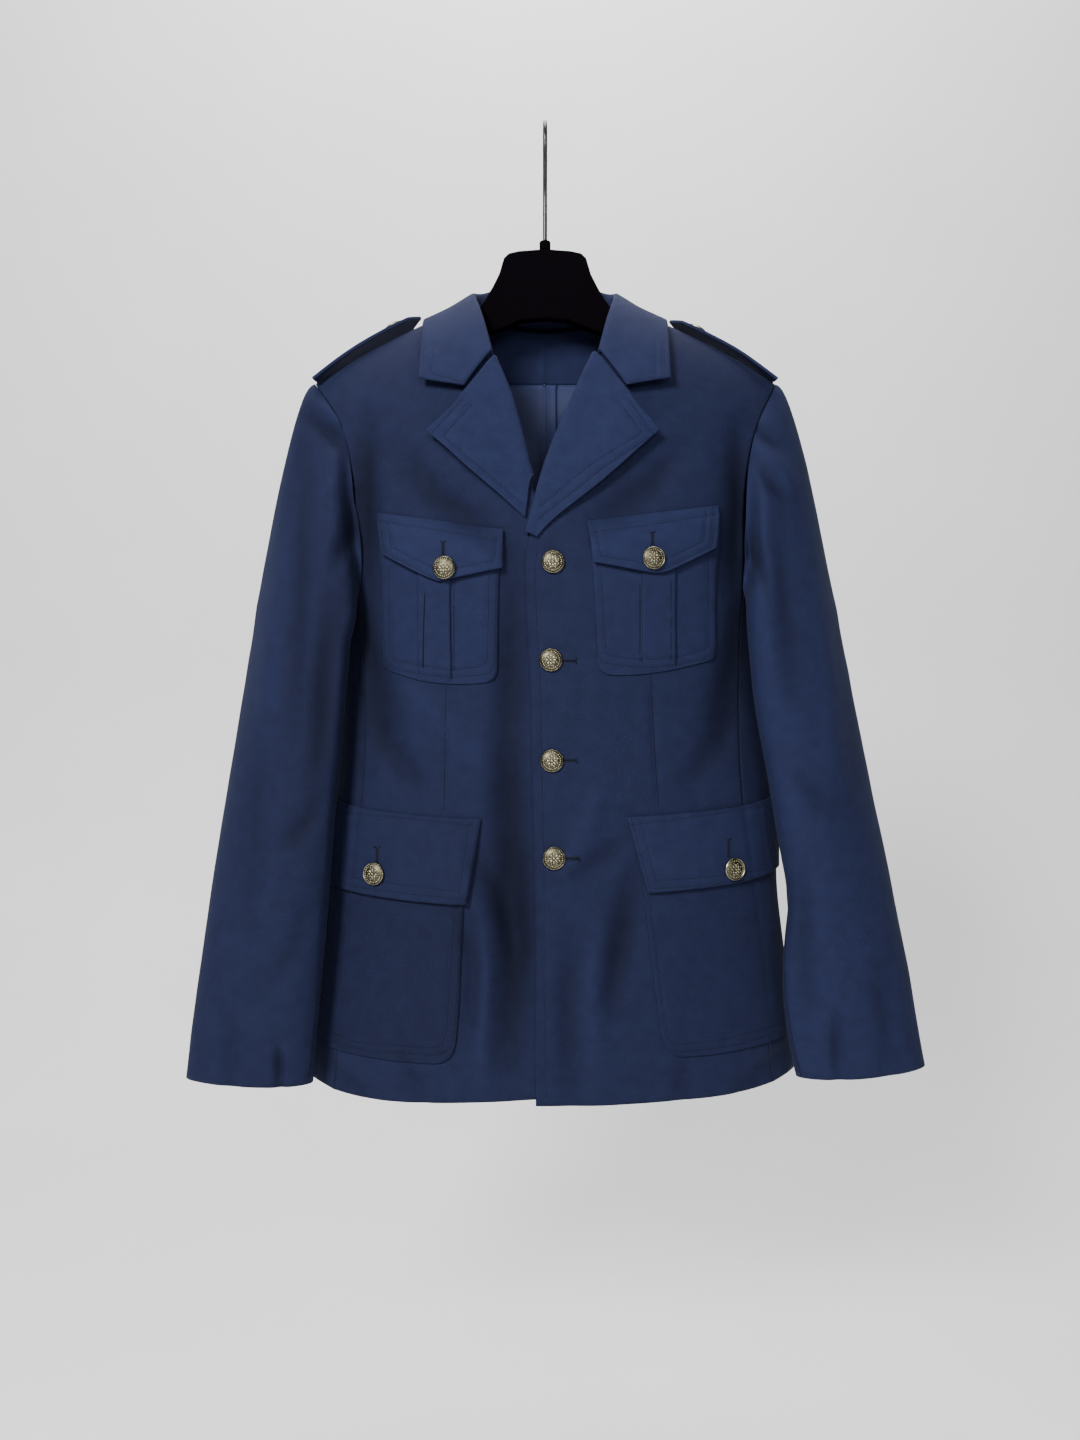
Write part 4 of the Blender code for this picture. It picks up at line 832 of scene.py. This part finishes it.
@dataclass
class Threads:
    """Short rods of thread or seam that are gathered into one mesh."""

    name: str
    finish: PlainFinish = THREAD
    points: list[Vector] = field(default_factory=list)
    faces: list[tuple[int, ...]] = field(default_factory=list)

    def rod(self, line: Sequence[Vector], radii: Sequence[float], sides: int = 5) -> None:
        """Add a closed rod along a line.

        Args:
            line: its middle points.
            radii: its radius at each of them.
            sides: how many sides it has.
        """
        start = len(self.points)
        for index, middle in enumerate(line):
            ahead = line[min(index + 1, len(line) - 1)] - line[max(index - 1, 0)]
            turn = ahead.to_track_quat("Z", "Y")
            for side in range(sides):
                angle = 2 * math.pi * side / sides
                offset = Vector((math.cos(angle), math.sin(angle), 0.0)) * radii[index]
                self.points.append(middle + turn @ offset)
        for ring in range(len(line) - 1):
            for side in range(sides):
                a = start + ring * sides + side
                b = start + ring * sides + (side + 1) % sides
                self.faces.append((a, b, b + sides, a + sides))
        self.faces.append(tuple(start + side for side in reversed(range(sides))))
        last = start + (len(line) - 1) * sides
        self.faces.append(tuple(last + side for side in range(sides)))

    def stitch_row(self, surface: Surface, path: Path, face: Face = Face.FRONT, pitch: float = 3.3) -> None:
        """Sew a row of stitches along a path.

        Args:
            surface: the cloth below.
            path: the row's corners, in picture points.
            face: the side it is seen on.
            pitch: the picture points from one stitch to the next.
        """
        met = [surface.meet(u, v, face) for u, v in walk(path, pitch)]
        for here, there in zip(met, met[1:]):
            if here is None or there is None or (there[0] - here[0]).length > STITCH_JUMP:
                continue
            start, end = (here[0].lerp(there[0], share) for share in STITCH_ENDS)
            rise = (here[1] + there[1]).normalized()
            places = (start, start.lerp(end, 0.5), end)
            line = [place + rise * height for place, height in zip(places, STITCH_HEIGHTS)]
            self.rod(line, STITCH_RADII)

    def seam(self, surface: Surface, path: Path, face: Face = Face.FRONT, radius: float = 0.00035) -> None:
        """Lay a thin seam line along a path.

        Args:
            surface: the cloth below.
            path: the line's corners, in picture points.
            face: the side it is seen on.
            radius: the line's radius.
        """
        places = [surface.meet(u, v, face) for u, v in walk(path, 7.0)]
        line = [found[0] - found[1] * radius * 0.45 for found in places if found]
        if len(line) > 1:
            self.rod(line, [radius * 0.4] + [radius] * (len(line) - 2) + [radius * 0.4], 6)

    def mesh_object(self) -> bpy.types.Object:
        """Return all the rods as one piece that rides on the jacket."""
        mesh = bpy.data.meshes.new(self.name)
        mesh.from_pydata([tuple(point) for point in self.points], [], self.faces)
        piece = object_from(self.name, mesh, self.finish)
        bpy.ops.object.mode_set(mode="EDIT")
        bpy.ops.mesh.select_all(action="SELECT")
        bpy.ops.mesh.normals_make_consistent(inside=False)
        bpy.ops.object.mode_set(mode="OBJECT")
        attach(piece, "root")
        return piece


# Lines that the lapels, the collar and the flaps hang from, in picture points
ROLL_LINES: tuple[Path, ...] = (
    ((471, 291), (481, 314), (492.6, 362.6), (501, 381.6), (518, 432), (526, 468), (539, 499.5)),
    ((614, 293), (602, 331), (596, 356), (581, 386), (558, 442.6), (547, 470), (539, 497), (532.6, 522.6)),
)
FLAP_TOPS: dict[str, Path] = {
    "chest_flap_right": ((376, 513), (505, 534)),
    "chest_flap_left": ((585.4, 525.5), (717.3, 506.7)),
    "hip_flap_right": ((341, 804.6), (482, 818)),
    "hip_flap_left": ((628, 816), (766, 797)),
}

# Rows of stitches on each carrier, in picture points
ROWS: dict[str, tuple[Path, ...]] = {
    "lapel_right": (
        ((463, 399), (430, 435), (470, 471), (527, 521)),
        ((472, 404), (443, 436), (480, 467), (528, 508)),
    ),
    "lapel_left": (
        ((627, 397), (654, 434), (600, 470), (539, 519)),
        ((618, 400), (642, 433), (595, 461), (541, 506)),
    ),
    "collar": (
        ((424, 345), (422, 378), (466, 393)),
        ((433, 345), (431, 373), (474, 385)),
        ((664, 345), (665, 383), (627, 391)),
        ((655, 345), (656, 376), (619, 381)),
    ),
    "chest_flap_right": (
        ((379, 515), (384, 552), (440, 581), (502, 569), (503, 537)),
        ((387, 524), (391, 547), (440, 571), (494, 561), (496, 537)),
        ((377, 521), (440, 530), (505, 541)),
    ),
    "chest_flap_left": (
        ((588, 527), (594, 563), (656, 573), (712, 546), (715, 510)),
        ((596, 531), (601, 556), (656, 564), (704, 541), (707, 512)),
        ((586, 533), (650, 525), (717, 514)),
    ),
    "hip_flap_right": (
        ((338, 838), (337, 884), (400, 893), (466, 900), (478, 822)),
        ((345, 830), (344, 877), (400, 885), (459, 892), (470, 821)),
        ((342, 813), (410, 819), (480, 826)),
    ),
    "hip_flap_left": (
        ((631, 818), (650, 889), (712, 885), (776, 876), (766, 812)),
        ((639, 818), (656, 881), (712, 877), (768, 869), (760, 806)),
        ((630, 825), (697, 817), (767, 806)),
    ),
}

POCKET_ROWS: dict[str, tuple[list[tuple[float, float]], ...]] = {
    "chest_pocket_right": (
        rounded(((381, 566), (382, 668), (446, 678), (494, 674), (496, 572)), 12),
        rounded(((388, 566), (390, 660), (446, 670), (487, 666), (489, 576)), 8),
    ),
    "chest_pocket_left": (
        rounded(((593, 572), (598, 662), (640, 668), (674, 666), (718, 656), (717, 552)), 12),
        rounded(((601, 574), (606, 655), (640, 660), (674, 658), (709, 649), (708, 556)), 8),
    ),
    "hip_pocket_right": (
        rounded(((463, 906), (452, 1057), (354, 1050), (330, 1040)), 22),
        rounded(((455, 906), (445, 1049), (354, 1043), (331, 1033)), 16),
    ),
    "hip_pocket_left": (
        rounded(((641, 894), (661, 1054), (725, 1048), (784, 1031)), 22),
        rounded(((649, 894), (668, 1046), (725, 1040), (783, 1023)), 16),
    ),
}

EDGE_ROW: Path = (
    (537, 548), (535, 572), (537, 633), (540, 684), (542, 766), (544, 888), (544, 975), (546, 1084),
    (546, 1098),
)
# Fold lines of the box pleats: the carrier, the line and the radius of the shadow in it
PLEATS: tuple[tuple[str, Path, float], ...] = (
    ("chest_pocket_right", ((425, 590), (423.5, 630), (423, 674)), 0.00085),
    ("chest_pocket_right", ((454, 586), (454, 674)), 0.00040),
    ("chest_pocket_left", ((640, 580), (640, 666)), 0.00060),
    ("chest_pocket_left", ((671, 576), (671, 662)), 0.00040),
)
DARTS: tuple[Path, ...] = (((446, 683), (445, 745), (444, 812)), ((650.5, 674), (654, 740), (658.5, 808)))


@dataclass(frozen=True)
class Buttonhole:
    """A worked buttonhole: two beads of thread, a dark rod of painted shadow for the slit, and a bar at one
    end.
    """

    middle: tuple[float, float]
    half: float
    upright: bool
    carrier: str

    def sew(self, threads: Threads, slits: Threads, surface: Surface) -> None:
        """Lay the buttonhole on its carrier.

        Args:
            threads: where the thread goes.
            slits: where the slit's painted shadow goes.
            surface: the carrier's surface.
        """
        beads = ((-1.3, 0.00045, threads), (1.3, 0.00045, threads), (0.0, 0.0005, slits))
        for offset, radius, keeper in beads:
            steps = [(self.half * step, offset) for step in (-1.0, -0.5, 0.0, 0.5, 1.0)]
            line = self.line(surface, steps, 0.0001)
            if len(line) > 1:
                keeper.rod(line, [radius * 0.7] + [radius] * (len(line) - 2) + [radius * 0.7], 6)
        end = -self.half if self.upright else self.half
        bar = self.line(surface, [(end, step) for step in (-3.4, 0.0, 3.4)], 0.0002)
        if len(bar) == 3:
            threads.rod(bar, (0.0004, 0.0006, 0.0004), 6)

    def line(self, surface: Surface, steps: Sequence[tuple[float, float]], lift: float) -> list[Vector]:
        """Return places on the carrier, a little off it.

        Args:
            surface: the carrier's surface.
            steps: picture points along and across the slit, from its middle.
            lift: how far off the places are, in metres.

        Returns:
            The places that were met.
        """
        places = []
        for along, across in steps:
            du, dv = (across, along) if self.upright else (along, across)
            found = surface.meet(self.middle[0] + du, self.middle[1] + dv)
            if found:
                places.append(found[0] + found[1] * lift)
        return places


BUTTONHOLES: tuple[Buttonhole, ...] = (
    Buttonhole((569, 661), 7.5, False, "front_left"),
    Buttonhole((570, 760.5), 7.5, False, "front_left"),
    Buttonhole((572, 858.5), 7.5, False, "front_left"),
    Buttonhole((443, 549), 7.5, True, "chest_flap_right"),
    Buttonhole((652.5, 539), 7.0, True, "chest_flap_left"),
    Buttonhole((377, 856), 9.0, True, "hip_flap_right"),
    Buttonhole((728.5, 848), 9.0, True, "hip_flap_left"),
)


# Painted light and shade on each side, as a share of the cloth's colour: the sleeve's top, the hip pocket
# and the hip flap
SIDE_PAINTED_LIGHT = {"right": (0.78, 0.62, 0.75), "left": (0.92, 0.74, 0.88)}


@dataclass
class JacketCloth:
    """All the jacket's cut pieces and what is sewn on them."""

    nodes: dict[str, bpy.types.Object]
    pieces: dict[str, ClothPiece] = field(default_factory=dict)

    def plan(self) -> list[ClothPiece]:
        """Return the pieces, the carriers before what lies on them."""
        made = []
        roll = {"held": "folded", "hinges": ROLL_LINES, "reach": 75.0, "lift": 0.0085}
        for side, sleeve in (("right", Group.SLEEVE_RIGHT), ("left", Group.SLEEVE_LEFT)):
            front = "front_" + side
            sleeve_painted_light, pocket_painted_light, flap_painted_light = SIDE_PAINTED_LIGHT[side]
            chest_top, hip_top = FLAP_TOPS["chest_flap_" + side], FLAP_TOPS["hip_flap_" + side]
            on_front = {"rests_on": (front,)}
            # The shares of colour given to the pieces below are painted light and shade: a whole piece
            # darker or lighter by how the light falls on it
            made += [
                ClothPiece(front, Cut(0.255, 0.765, 0.148), tone=0.76),
                ClothPiece("side_" + side, Cut(0.155, 0.480, 0.056), tone=0.66,
                           rests_on=(front, "back_" + side)),
                ClothPiece("back_" + side, Cut(0.235, 0.750, 0.136), tone=0.85),
                ClothPiece("sleeve_top_" + side, Cut(0.270, 0.670, 0.150), sleeve, tone=sleeve_painted_light,
                           **on_front),
                ClothPiece("sleeve_under_" + side, Cut(0.075, 0.470, 0.026), sleeve, tone=0.74,
                           rests_on=("side_" + side,)),
                ClothPiece("shoulder_strap_" + side, Cut(0.045, 0.120, 0.0046), thick=0.0024, **on_front),
                ClothPiece("chest_pocket_" + side, Cut(0.150, 0.140, 0.0180), tone=0.88, sharp=45.0,
                           thick=0.0014, **on_front),
                ClothPiece("hip_pocket_" + side, Cut(0.175, 0.215, 0.0310), tone=pocket_painted_light, thick=0.0014,
                           **on_front),
                ClothPiece("chest_flap_" + side, Cut(0.125, 0.065, 0.0065), thick=0.0016,
                           hinges=(chest_top,), reach=60.0, lift=0.0024, **on_front),
                ClothPiece("hip_flap_" + side, Cut(0.170, 0.085, 0.0125), tone=flap_painted_light, thick=0.0016,
                           hinges=(hip_top,), reach=85.0, lift=0.0030, **on_front),
            ]
        made += [
            ClothPiece("lapel_right", Cut(0.110, 0.175, 0.0085), rests_on=("front_right",), **roll,
                       pulls=(Pull(((493, 366), (467, 396)), 8.0, -1.4, 1.2, False),)),
            ClothPiece("lapel_left", Cut(0.120, 0.190, 0.0105), rests_on=("front_left",), **roll,
                       pulls=(Pull(((596, 360), (623, 395)), 8.0, 1.2, 1.0, False),)),
            ClothPiece("collar", Cut(0.110, 0.480, 0.0360), rests_on=("front_left", "front_right"), **roll),
            ClothPiece("back_neck_facing", Cut(0.140, 0.055, 0.0070), thick=0.0011, rests_on=("back_left",)),
            ClothPiece("back_lining", Cut(0.255, 0.245, 0.0560), sharp=45.0, thick=0.0011, finish=LINING,
                       slot="lining_twill", rests_on=("back_neck_facing",)),
        ]
        return made

    def build(self) -> None:
        """Make every piece of cloth."""
        for piece in self.plan():
            piece.rows = list(ROWS.get(piece.node, ())) + list(POCKET_ROWS.get(piece.node, ()))
            if piece.node == "front_left":
                piece.rows = [EDGE_ROW]
            made = piece.build(self.nodes)
            self.pieces[piece.node] = piece
            LOG.info("%s: %d faces", made.name, len(made.data.polygons))

    def surface(self, *names: str) -> Surface:
        """Return the surface of some pieces by node name."""
        return Surface([self.pieces[name].piece for name in names])

    def sew(self) -> None:
        """Add the stitches, seam lines and buttonholes."""
        for node, rows in {**ROWS, **POCKET_ROWS}.items():
            threads = Threads(node + "_stitches")
            surface = self.surface(node)
            for row in rows:
                threads.stitch_row(surface, row)
            self.keep(node, threads.mesh_object())
        fronts = self.surface("front_left")
        edge = Threads("front_edge_stitches")
        edge.stitch_row(fronts, EDGE_ROW)
        self.keep("front_left", edge.mesh_object())
        for side, dart in zip(("right", "left"), DARTS):
            line = Threads("dart_" + side, SEAM_AND_SHADOW_LINE)
            line.seam(self.surface("front_" + side), dart)
            self.keep("front_" + side, line.mesh_object())
        for number, (carrier, path, radius) in enumerate(PLEATS, 1):
            line = Threads("pleat_%d" % number, SEAM_AND_SHADOW_LINE)
            line.seam(self.surface(carrier), path, radius=radius)
            self.keep(carrier, line.mesh_object())
        for number, hole in enumerate(BUTTONHOLES, 1):
            threads = Threads("buttonhole_%d_thread" % number)
            slits = Threads("buttonhole_%d_slit" % number, SEAM_AND_SHADOW_LINE)
            hole.sew(threads, slits, self.surface(hole.carrier))
            self.keep(hole.carrier, threads.mesh_object())
            self.keep(hole.carrier, slits.mesh_object())

    def keep(self, node: str, trim: bpy.types.Object) -> None:
        """Note a trim on its carrier and report it."""
        self.pieces[node].trims.append(trim)
        LOG.info("%s: %d faces", trim.name, len(trim.data.polygons))

    def declare(self) -> None:
        """Call each piece's declare, which does nothing."""
        for piece in self.pieces.values():
            piece.declare()


# A button from its back to its top: the stem's radius, then each ring's height and radius
BUTTON_STEM = 0.0035
BUTTON_PROFILE = (
    (0.0009, 0.0035), (0.0011, 0.00985), (0.0020, 0.01015), (0.0027, 0.00985), (0.0030, 0.0094),
    (0.00265, 0.0089), (0.00225, 0.0086), (0.0026, 0.0080), (0.0031, 0.0066), (0.00345, 0.0054),
    (0.0036, 0.0050), (0.00355, 0.0047), (0.0038, 0.0035), (0.00395, 0.0018), (0.0040, 0.0006),
)
# The dull field inside the rim: its radius, and the height that it starts at
FIELD_RADIUS = 0.0091
FIELD_HEIGHT = 0.0020


@dataclass
class Buttons:
    """Ten domed brass buttons with a ring of beads and a plain rosette."""

    nodes: dict[str, bpy.types.Object]
    beads: int = 26
    petals: int = 8
    carriers: dict[str, str] = field(default_factory=lambda: {
        "front": "front_left", "chest_right": "chest_flap_right", "chest_left": "chest_flap_left",
        "hip_right": "hip_flap_right", "hip_left": "hip_flap_left", "shoulder_right": "shoulder_strap_right",
        "shoulder_left": "shoulder_strap_left",
    })

    def model(self) -> bpy.types.Mesh:
        """Return one button's mesh, facing +Z, with its back at height 0."""
        bpy.ops.object.select_all(action="DESELECT")
        bpy.ops.mesh.primitive_circle_add(
            vertices=48, radius=BUTTON_STEM, fill_type="NGON", location=(0, 0, 0)
        )
        disc = bpy.context.object
        bpy.ops.object.mode_set(mode="EDIT")
        bpy.ops.mesh.select_mode(type="FACE")
        bpy.ops.mesh.select_all(action="SELECT")
        height, width = 0.0, BUTTON_STEM
        for next_height, next_width in BUTTON_PROFILE:
            scale = next_width / width
            bpy.ops.mesh.extrude_region_move(TRANSFORM_OT_translate={"value": (0, 0, next_height - height)})
            bpy.ops.transform.resize(value=(scale, scale, 1.0))
            height, width = next_height, next_width
        bpy.ops.mesh.select_all(action="SELECT")
        bpy.ops.mesh.normals_make_consistent(inside=False)
        bpy.ops.object.mode_set(mode="OBJECT")
        parts = [disc]
        for index in range(self.beads):
            parts.append(self.bead(2 * math.pi * index / self.beads, 0.00755, 0.00066, 0.0029, 1.0))
        for index in range(self.petals):
            parts.append(self.bead(2 * math.pi * index / self.petals, 0.0033, 0.00095, 0.0039, 1.75))
            parts.append(self.bead(2 * math.pi * (index + 0.5) / self.petals, 0.0053, 0.00060, 0.0036, 1.4))
        parts.append(self.bead(0.0, 0.0, 0.0012, 0.0041, 1.0))
        bpy.ops.object.select_all(action="DESELECT")
        for part in parts:
            part.select_set(True)
        bpy.context.view_layer.objects.active = disc
        bpy.ops.object.join()
        bpy.ops.object.shade_smooth_by_angle(angle=math.radians(45))
        mesh = disc.data.copy()
        bpy.data.objects.remove(disc)
        for face in mesh.polygons:
            out = math.hypot(face.center.x, face.center.y)
            field = out < FIELD_RADIUS and face.center.z > FIELD_HEIGHT
            face.material_index = 1 if field and len(face.vertices) > 3 else 0
        return mesh

    def bead(self, angle: float, out: float, size: float, height: float, stretch: float) -> bpy.types.Object:
        """Return a small bead or petal that points away from the middle.

        Args:
            angle: its place round the button.
            out: its distance from the middle.
            size: its radius.
            height: its height.
            stretch: how much longer it is than wide.

        Returns:
            The bead, with its place in its mesh.
        """
        bpy.ops.mesh.primitive_ico_sphere_add(subdivisions=2, radius=size, location=(0, 0, 0))
        made = bpy.context.object
        made.data.transform(
            Matrix.Translation((out * math.cos(angle), out * math.sin(angle), height))
            @ Matrix.Rotation(angle, 4, "Z") @ Matrix.Diagonal((stretch, 1.0, 0.62, 1.0))
        )
        return made

    def place_of(self, node: str) -> Matrix:
        """Return where a solid button stands: its back's middle and its facing."""
        points = points_of(self.nodes[node])
        middle = points.mean(axis=0)
        _, _, axes = np.linalg.svd(points - middle, full_matrices=False)
        facing = axes[2]
        heights = (points - middle) @ facing
        spread = np.linalg.norm((points - middle) - heights[:, None] * facing, axis=1)
        if heights[spread > 0.009].mean() < heights[(spread < 0.0045) & (spread > 0.002)].mean():
            facing = -facing
            heights = -heights
        rim = points[spread > 0.0098]
        centre = rim.mean(axis=0)
        back = centre + facing * (heights.min() - ((rim - middle) @ facing).mean())
        turn = Vector(facing).to_track_quat("Z", "Y").to_matrix().to_4x4()
        return Matrix.Translation(Vector(back)) @ turn

    def build(self, cloth: JacketCloth) -> None:
        """Make the ten buttons and sew each to its carrier among the jacket's pieces."""
        mesh = self.model()
        dull = [face.material_index for face in mesh.polygons]
        for node in sorted(name for name in self.nodes if name.startswith("button_")):
            key = node.replace("button_", "")
            key = "front" if key.startswith("front") else key
            place = self.place_of(node)
            made = object_from(node + "_brass", mesh.copy(), BRASS)
            made.data.materials.append(PATINA.material())
            made.data.polygons.foreach_set("material_index", dull)
            bpy.ops.object.shade_smooth_by_angle(angle=math.radians(45))
            made.data.transform(place)
            carrier = cloth.pieces[self.carriers[key]]
            spot = np.array([list(place.translation)])
            rise = carrier.raised(spot) if carrier.hinges else 0.0
            moved = drape(spot, Group.BODY)[0]
            moved[1] -= float(np.max(rise))
            made.data.transform(Matrix.Translation(Vector(moved) - place.translation))
            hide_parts(node)
            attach(made, "root")
            cloth.keep(self.carriers[key], made)


@dataclass
class Hanger:
    """The flocked hanger, its wire hook and its ferrule."""

    nodes: dict[str, bpy.types.Object]
    wire: float = 0.0020
    bend: float = 0.0210
    rod: float = 0.0190
    shaft_foot: float = -0.1077
    neck: Path = ((-0.0165, -0.0345), (-0.0095, -0.0450), (-0.0030, -0.0560), (0.0, -0.0680))

    def build(self) -> None:
        """Flock the plate and arms, and make the hook and the ferrule."""
        body = self.nodes["hanger_body"]
        body.data.materials.clear()
        body.data.materials.append(FLOCK.material())
        self.build_hook()
        self.build_ferrule()

    def build_hook(self) -> None:
        """Make the hook's round wire along the solid's own line."""
        line = []
        for degrees in range(-200, 16, 12):
            angle = math.radians(degrees)
            line.append((0.0, -self.bend * math.cos(angle), -self.rod - self.bend * math.sin(angle)))
        line += [(0.0, y, z) for y, z in self.neck] + [(0.0, 0.0, self.shaft_foot)]
        curve = bpy.data.curves.new("hook_wire", "CURVE")
        curve.dimensions = "3D"
        curve.bevel_depth = self.wire
        curve.bevel_resolution = 5
        curve.use_fill_caps = True
        spline = curve.splines.new("POLY")
        spline.points.add(len(line) - 1)
        for point, place in zip(spline.points, line):
            point.co = (*place, 1.0)
        holder = bpy.data.objects.new("hook_wire", curve)
        bpy.context.scene.collection.objects.link(holder)
        pick_only(holder)
        bpy.ops.object.convert(target="MESH")
        piece = bpy.context.object
        piece.data.materials.clear()
        piece.data.materials.append(WIRE.material())
        bpy.ops.object.shade_smooth_by_angle(angle=math.radians(50))
        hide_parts("hanger_hook")
        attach(piece, "root")
        LOG.info("hook_wire: %d faces", len(piece.data.polygons))

    def build_ferrule(self) -> None:
        """Make the short collar where the wire enters the plate."""
        low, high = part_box("hanger_ferrule")
        bpy.ops.object.select_all(action="DESELECT")
        middle = (0, 0, (low[2] + high[2]) / 2)
        bpy.ops.mesh.primitive_cylinder_add(
            vertices=40, radius=(high[0] - low[0]) / 2, depth=high[2] - low[2], location=middle
        )
        piece = bpy.context.object
        piece.name = "ferrule_flocked"
        bpy.ops.object.transform_apply(location=True)
        softer = piece.modifiers.new("Bevel", "BEVEL")
        softer.width = 0.0009
        softer.segments = 3
        softer.limit_method = "ANGLE"
        bpy.ops.object.modifier_apply(modifier=softer.name)
        piece.data.materials.append(FLOCK.material())
        bpy.ops.object.shade_smooth_by_angle(angle=math.radians(50))
        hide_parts("hanger_ferrule")
        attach(piece, "root")
        LOG.info("ferrule_flocked: %d faces", len(piece.data.polygons))


@dataclass
class Studio:
    """A pale cove, soft lamps and the picture's camera."""

    floor: float = -1.30
    wall: float = 1.6
    half: float = 4.0
    height: float = 5.0
    bend: float = 0.9
    ambient: float = 0.04
    lens: float = 29.25
    sensor: float = 36.0

    def build_cove(self) -> None:
        """Make the floor, turned up behind into a plain wall."""
        bpy.ops.object.select_all(action="DESELECT")
        bpy.ops.mesh.primitive_plane_add(size=2 * self.half, location=(0, self.wall - self.half, self.floor))
        cove = bpy.context.object
        cove.name = "cove"
        bpy.ops.object.transform_apply(location=True)
        shape = bmesh.new()
        shape.from_mesh(cove.data)
        back = [edge for edge in shape.edges if all(vertex.co.y > self.wall - 0.01 for vertex in edge.verts)]
        raised = bmesh.ops.extrude_edge_only(shape, edges=back)["geom"]
        for vertex in (item for item in raised if isinstance(item, bmesh.types.BMVert)):
            vertex.co.z += self.height
        shape.to_mesh(cove.data)
        shape.free()
        turn = cove.modifiers.new("Bevel", "BEVEL")
        turn.width = self.bend
        turn.segments = 14
        turn.limit_method = "ANGLE"
        bpy.ops.object.modifier_apply(modifier=turn.name)
        bpy.ops.object.shade_smooth()
        cove.data.materials.append(STUDIO.material())
        cove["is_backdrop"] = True

    def lamp(self, name: str, place: tuple[float, float, float], size: float, power: float,
             aim: tuple[float, float, float] = (0.0, 0.0, -0.5)) -> None:
        """Add one soft square lamp.

        Args:
            name: the lamp's name.
            place: where it stands.
            size: the length of its side.
            power: its power in watts.
            aim: what it points at.
        """
        data = bpy.data.lights.new(name, "AREA")
        data.size = size
        data.energy = power
        made = bpy.data.objects.new(name, data)
        made.location = place
        made.rotation_euler = (Vector(aim) - Vector(place)).to_track_quat("-Z", "Y").to_euler()
        bpy.context.scene.collection.objects.link(made)

    def build(self) -> None:
        """Make the cove, the lamps, the ambient light and the camera."""
        self.build_cove()
        self.lamp("key", (-1.10, -2.30, 0.70), 0.7, 130.0, (0.0, 0.0, -0.5))
        self.lamp("fill", (0.4, -2.4, 0.1), 0.8, 30.0)
        self.lamp("wall", (0.0, 0.55, 2.4), 1.8, 130.0, (0.0, 1.5, -0.6))
        world = bpy.data.worlds.new("studio")
        world.use_nodes = True
        sky = world.node_tree.nodes["Background"]
        sky.inputs["Color"].default_value = (0.95, 0.97, 1.0, 1.0)
        sky.inputs["Strength"].default_value = self.ambient
        bpy.context.scene.world = world
        data = bpy.data.cameras.new("camera")
        data.lens = self.lens
        data.sensor_width = self.sensor
        data.sensor_fit = "AUTO"
        camera = bpy.data.objects.new("camera", data)
        camera.location = (VIEW.across, -VIEW.away, VIEW.height)
        camera.rotation_euler = (math.pi / 2, 0.0, 0.0)
        bpy.context.scene.collection.objects.link(camera)
        bpy.context.scene.camera = camera


def plain_box(pair: tuple[Vector, Vector]) -> list[list[float]]:
    """Return a box's two corners as plain lists."""
    return [[float(value) for value in corner] for corner in pair]


def main() -> list[list[float]]:
    """Build and dress everything.

    Returns:
        The solids' box, from before anything was added.
    """
    logging.basicConfig(level=logging.INFO, format="%(message)s")
    noise.seed_set(UNEVEN_SEED)
    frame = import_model()
    solids_box = plain_box(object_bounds())
    cloth = JacketCloth(frame["nodes"])
    cloth.build()
    cloth.sew()
    Buttons(frame["nodes"]).build(cloth)
    cloth.declare()
    Hanger(frame["nodes"]).build()
    Studio().build()
    return solids_box


if __name__ == "__main__":
    box_before = main()
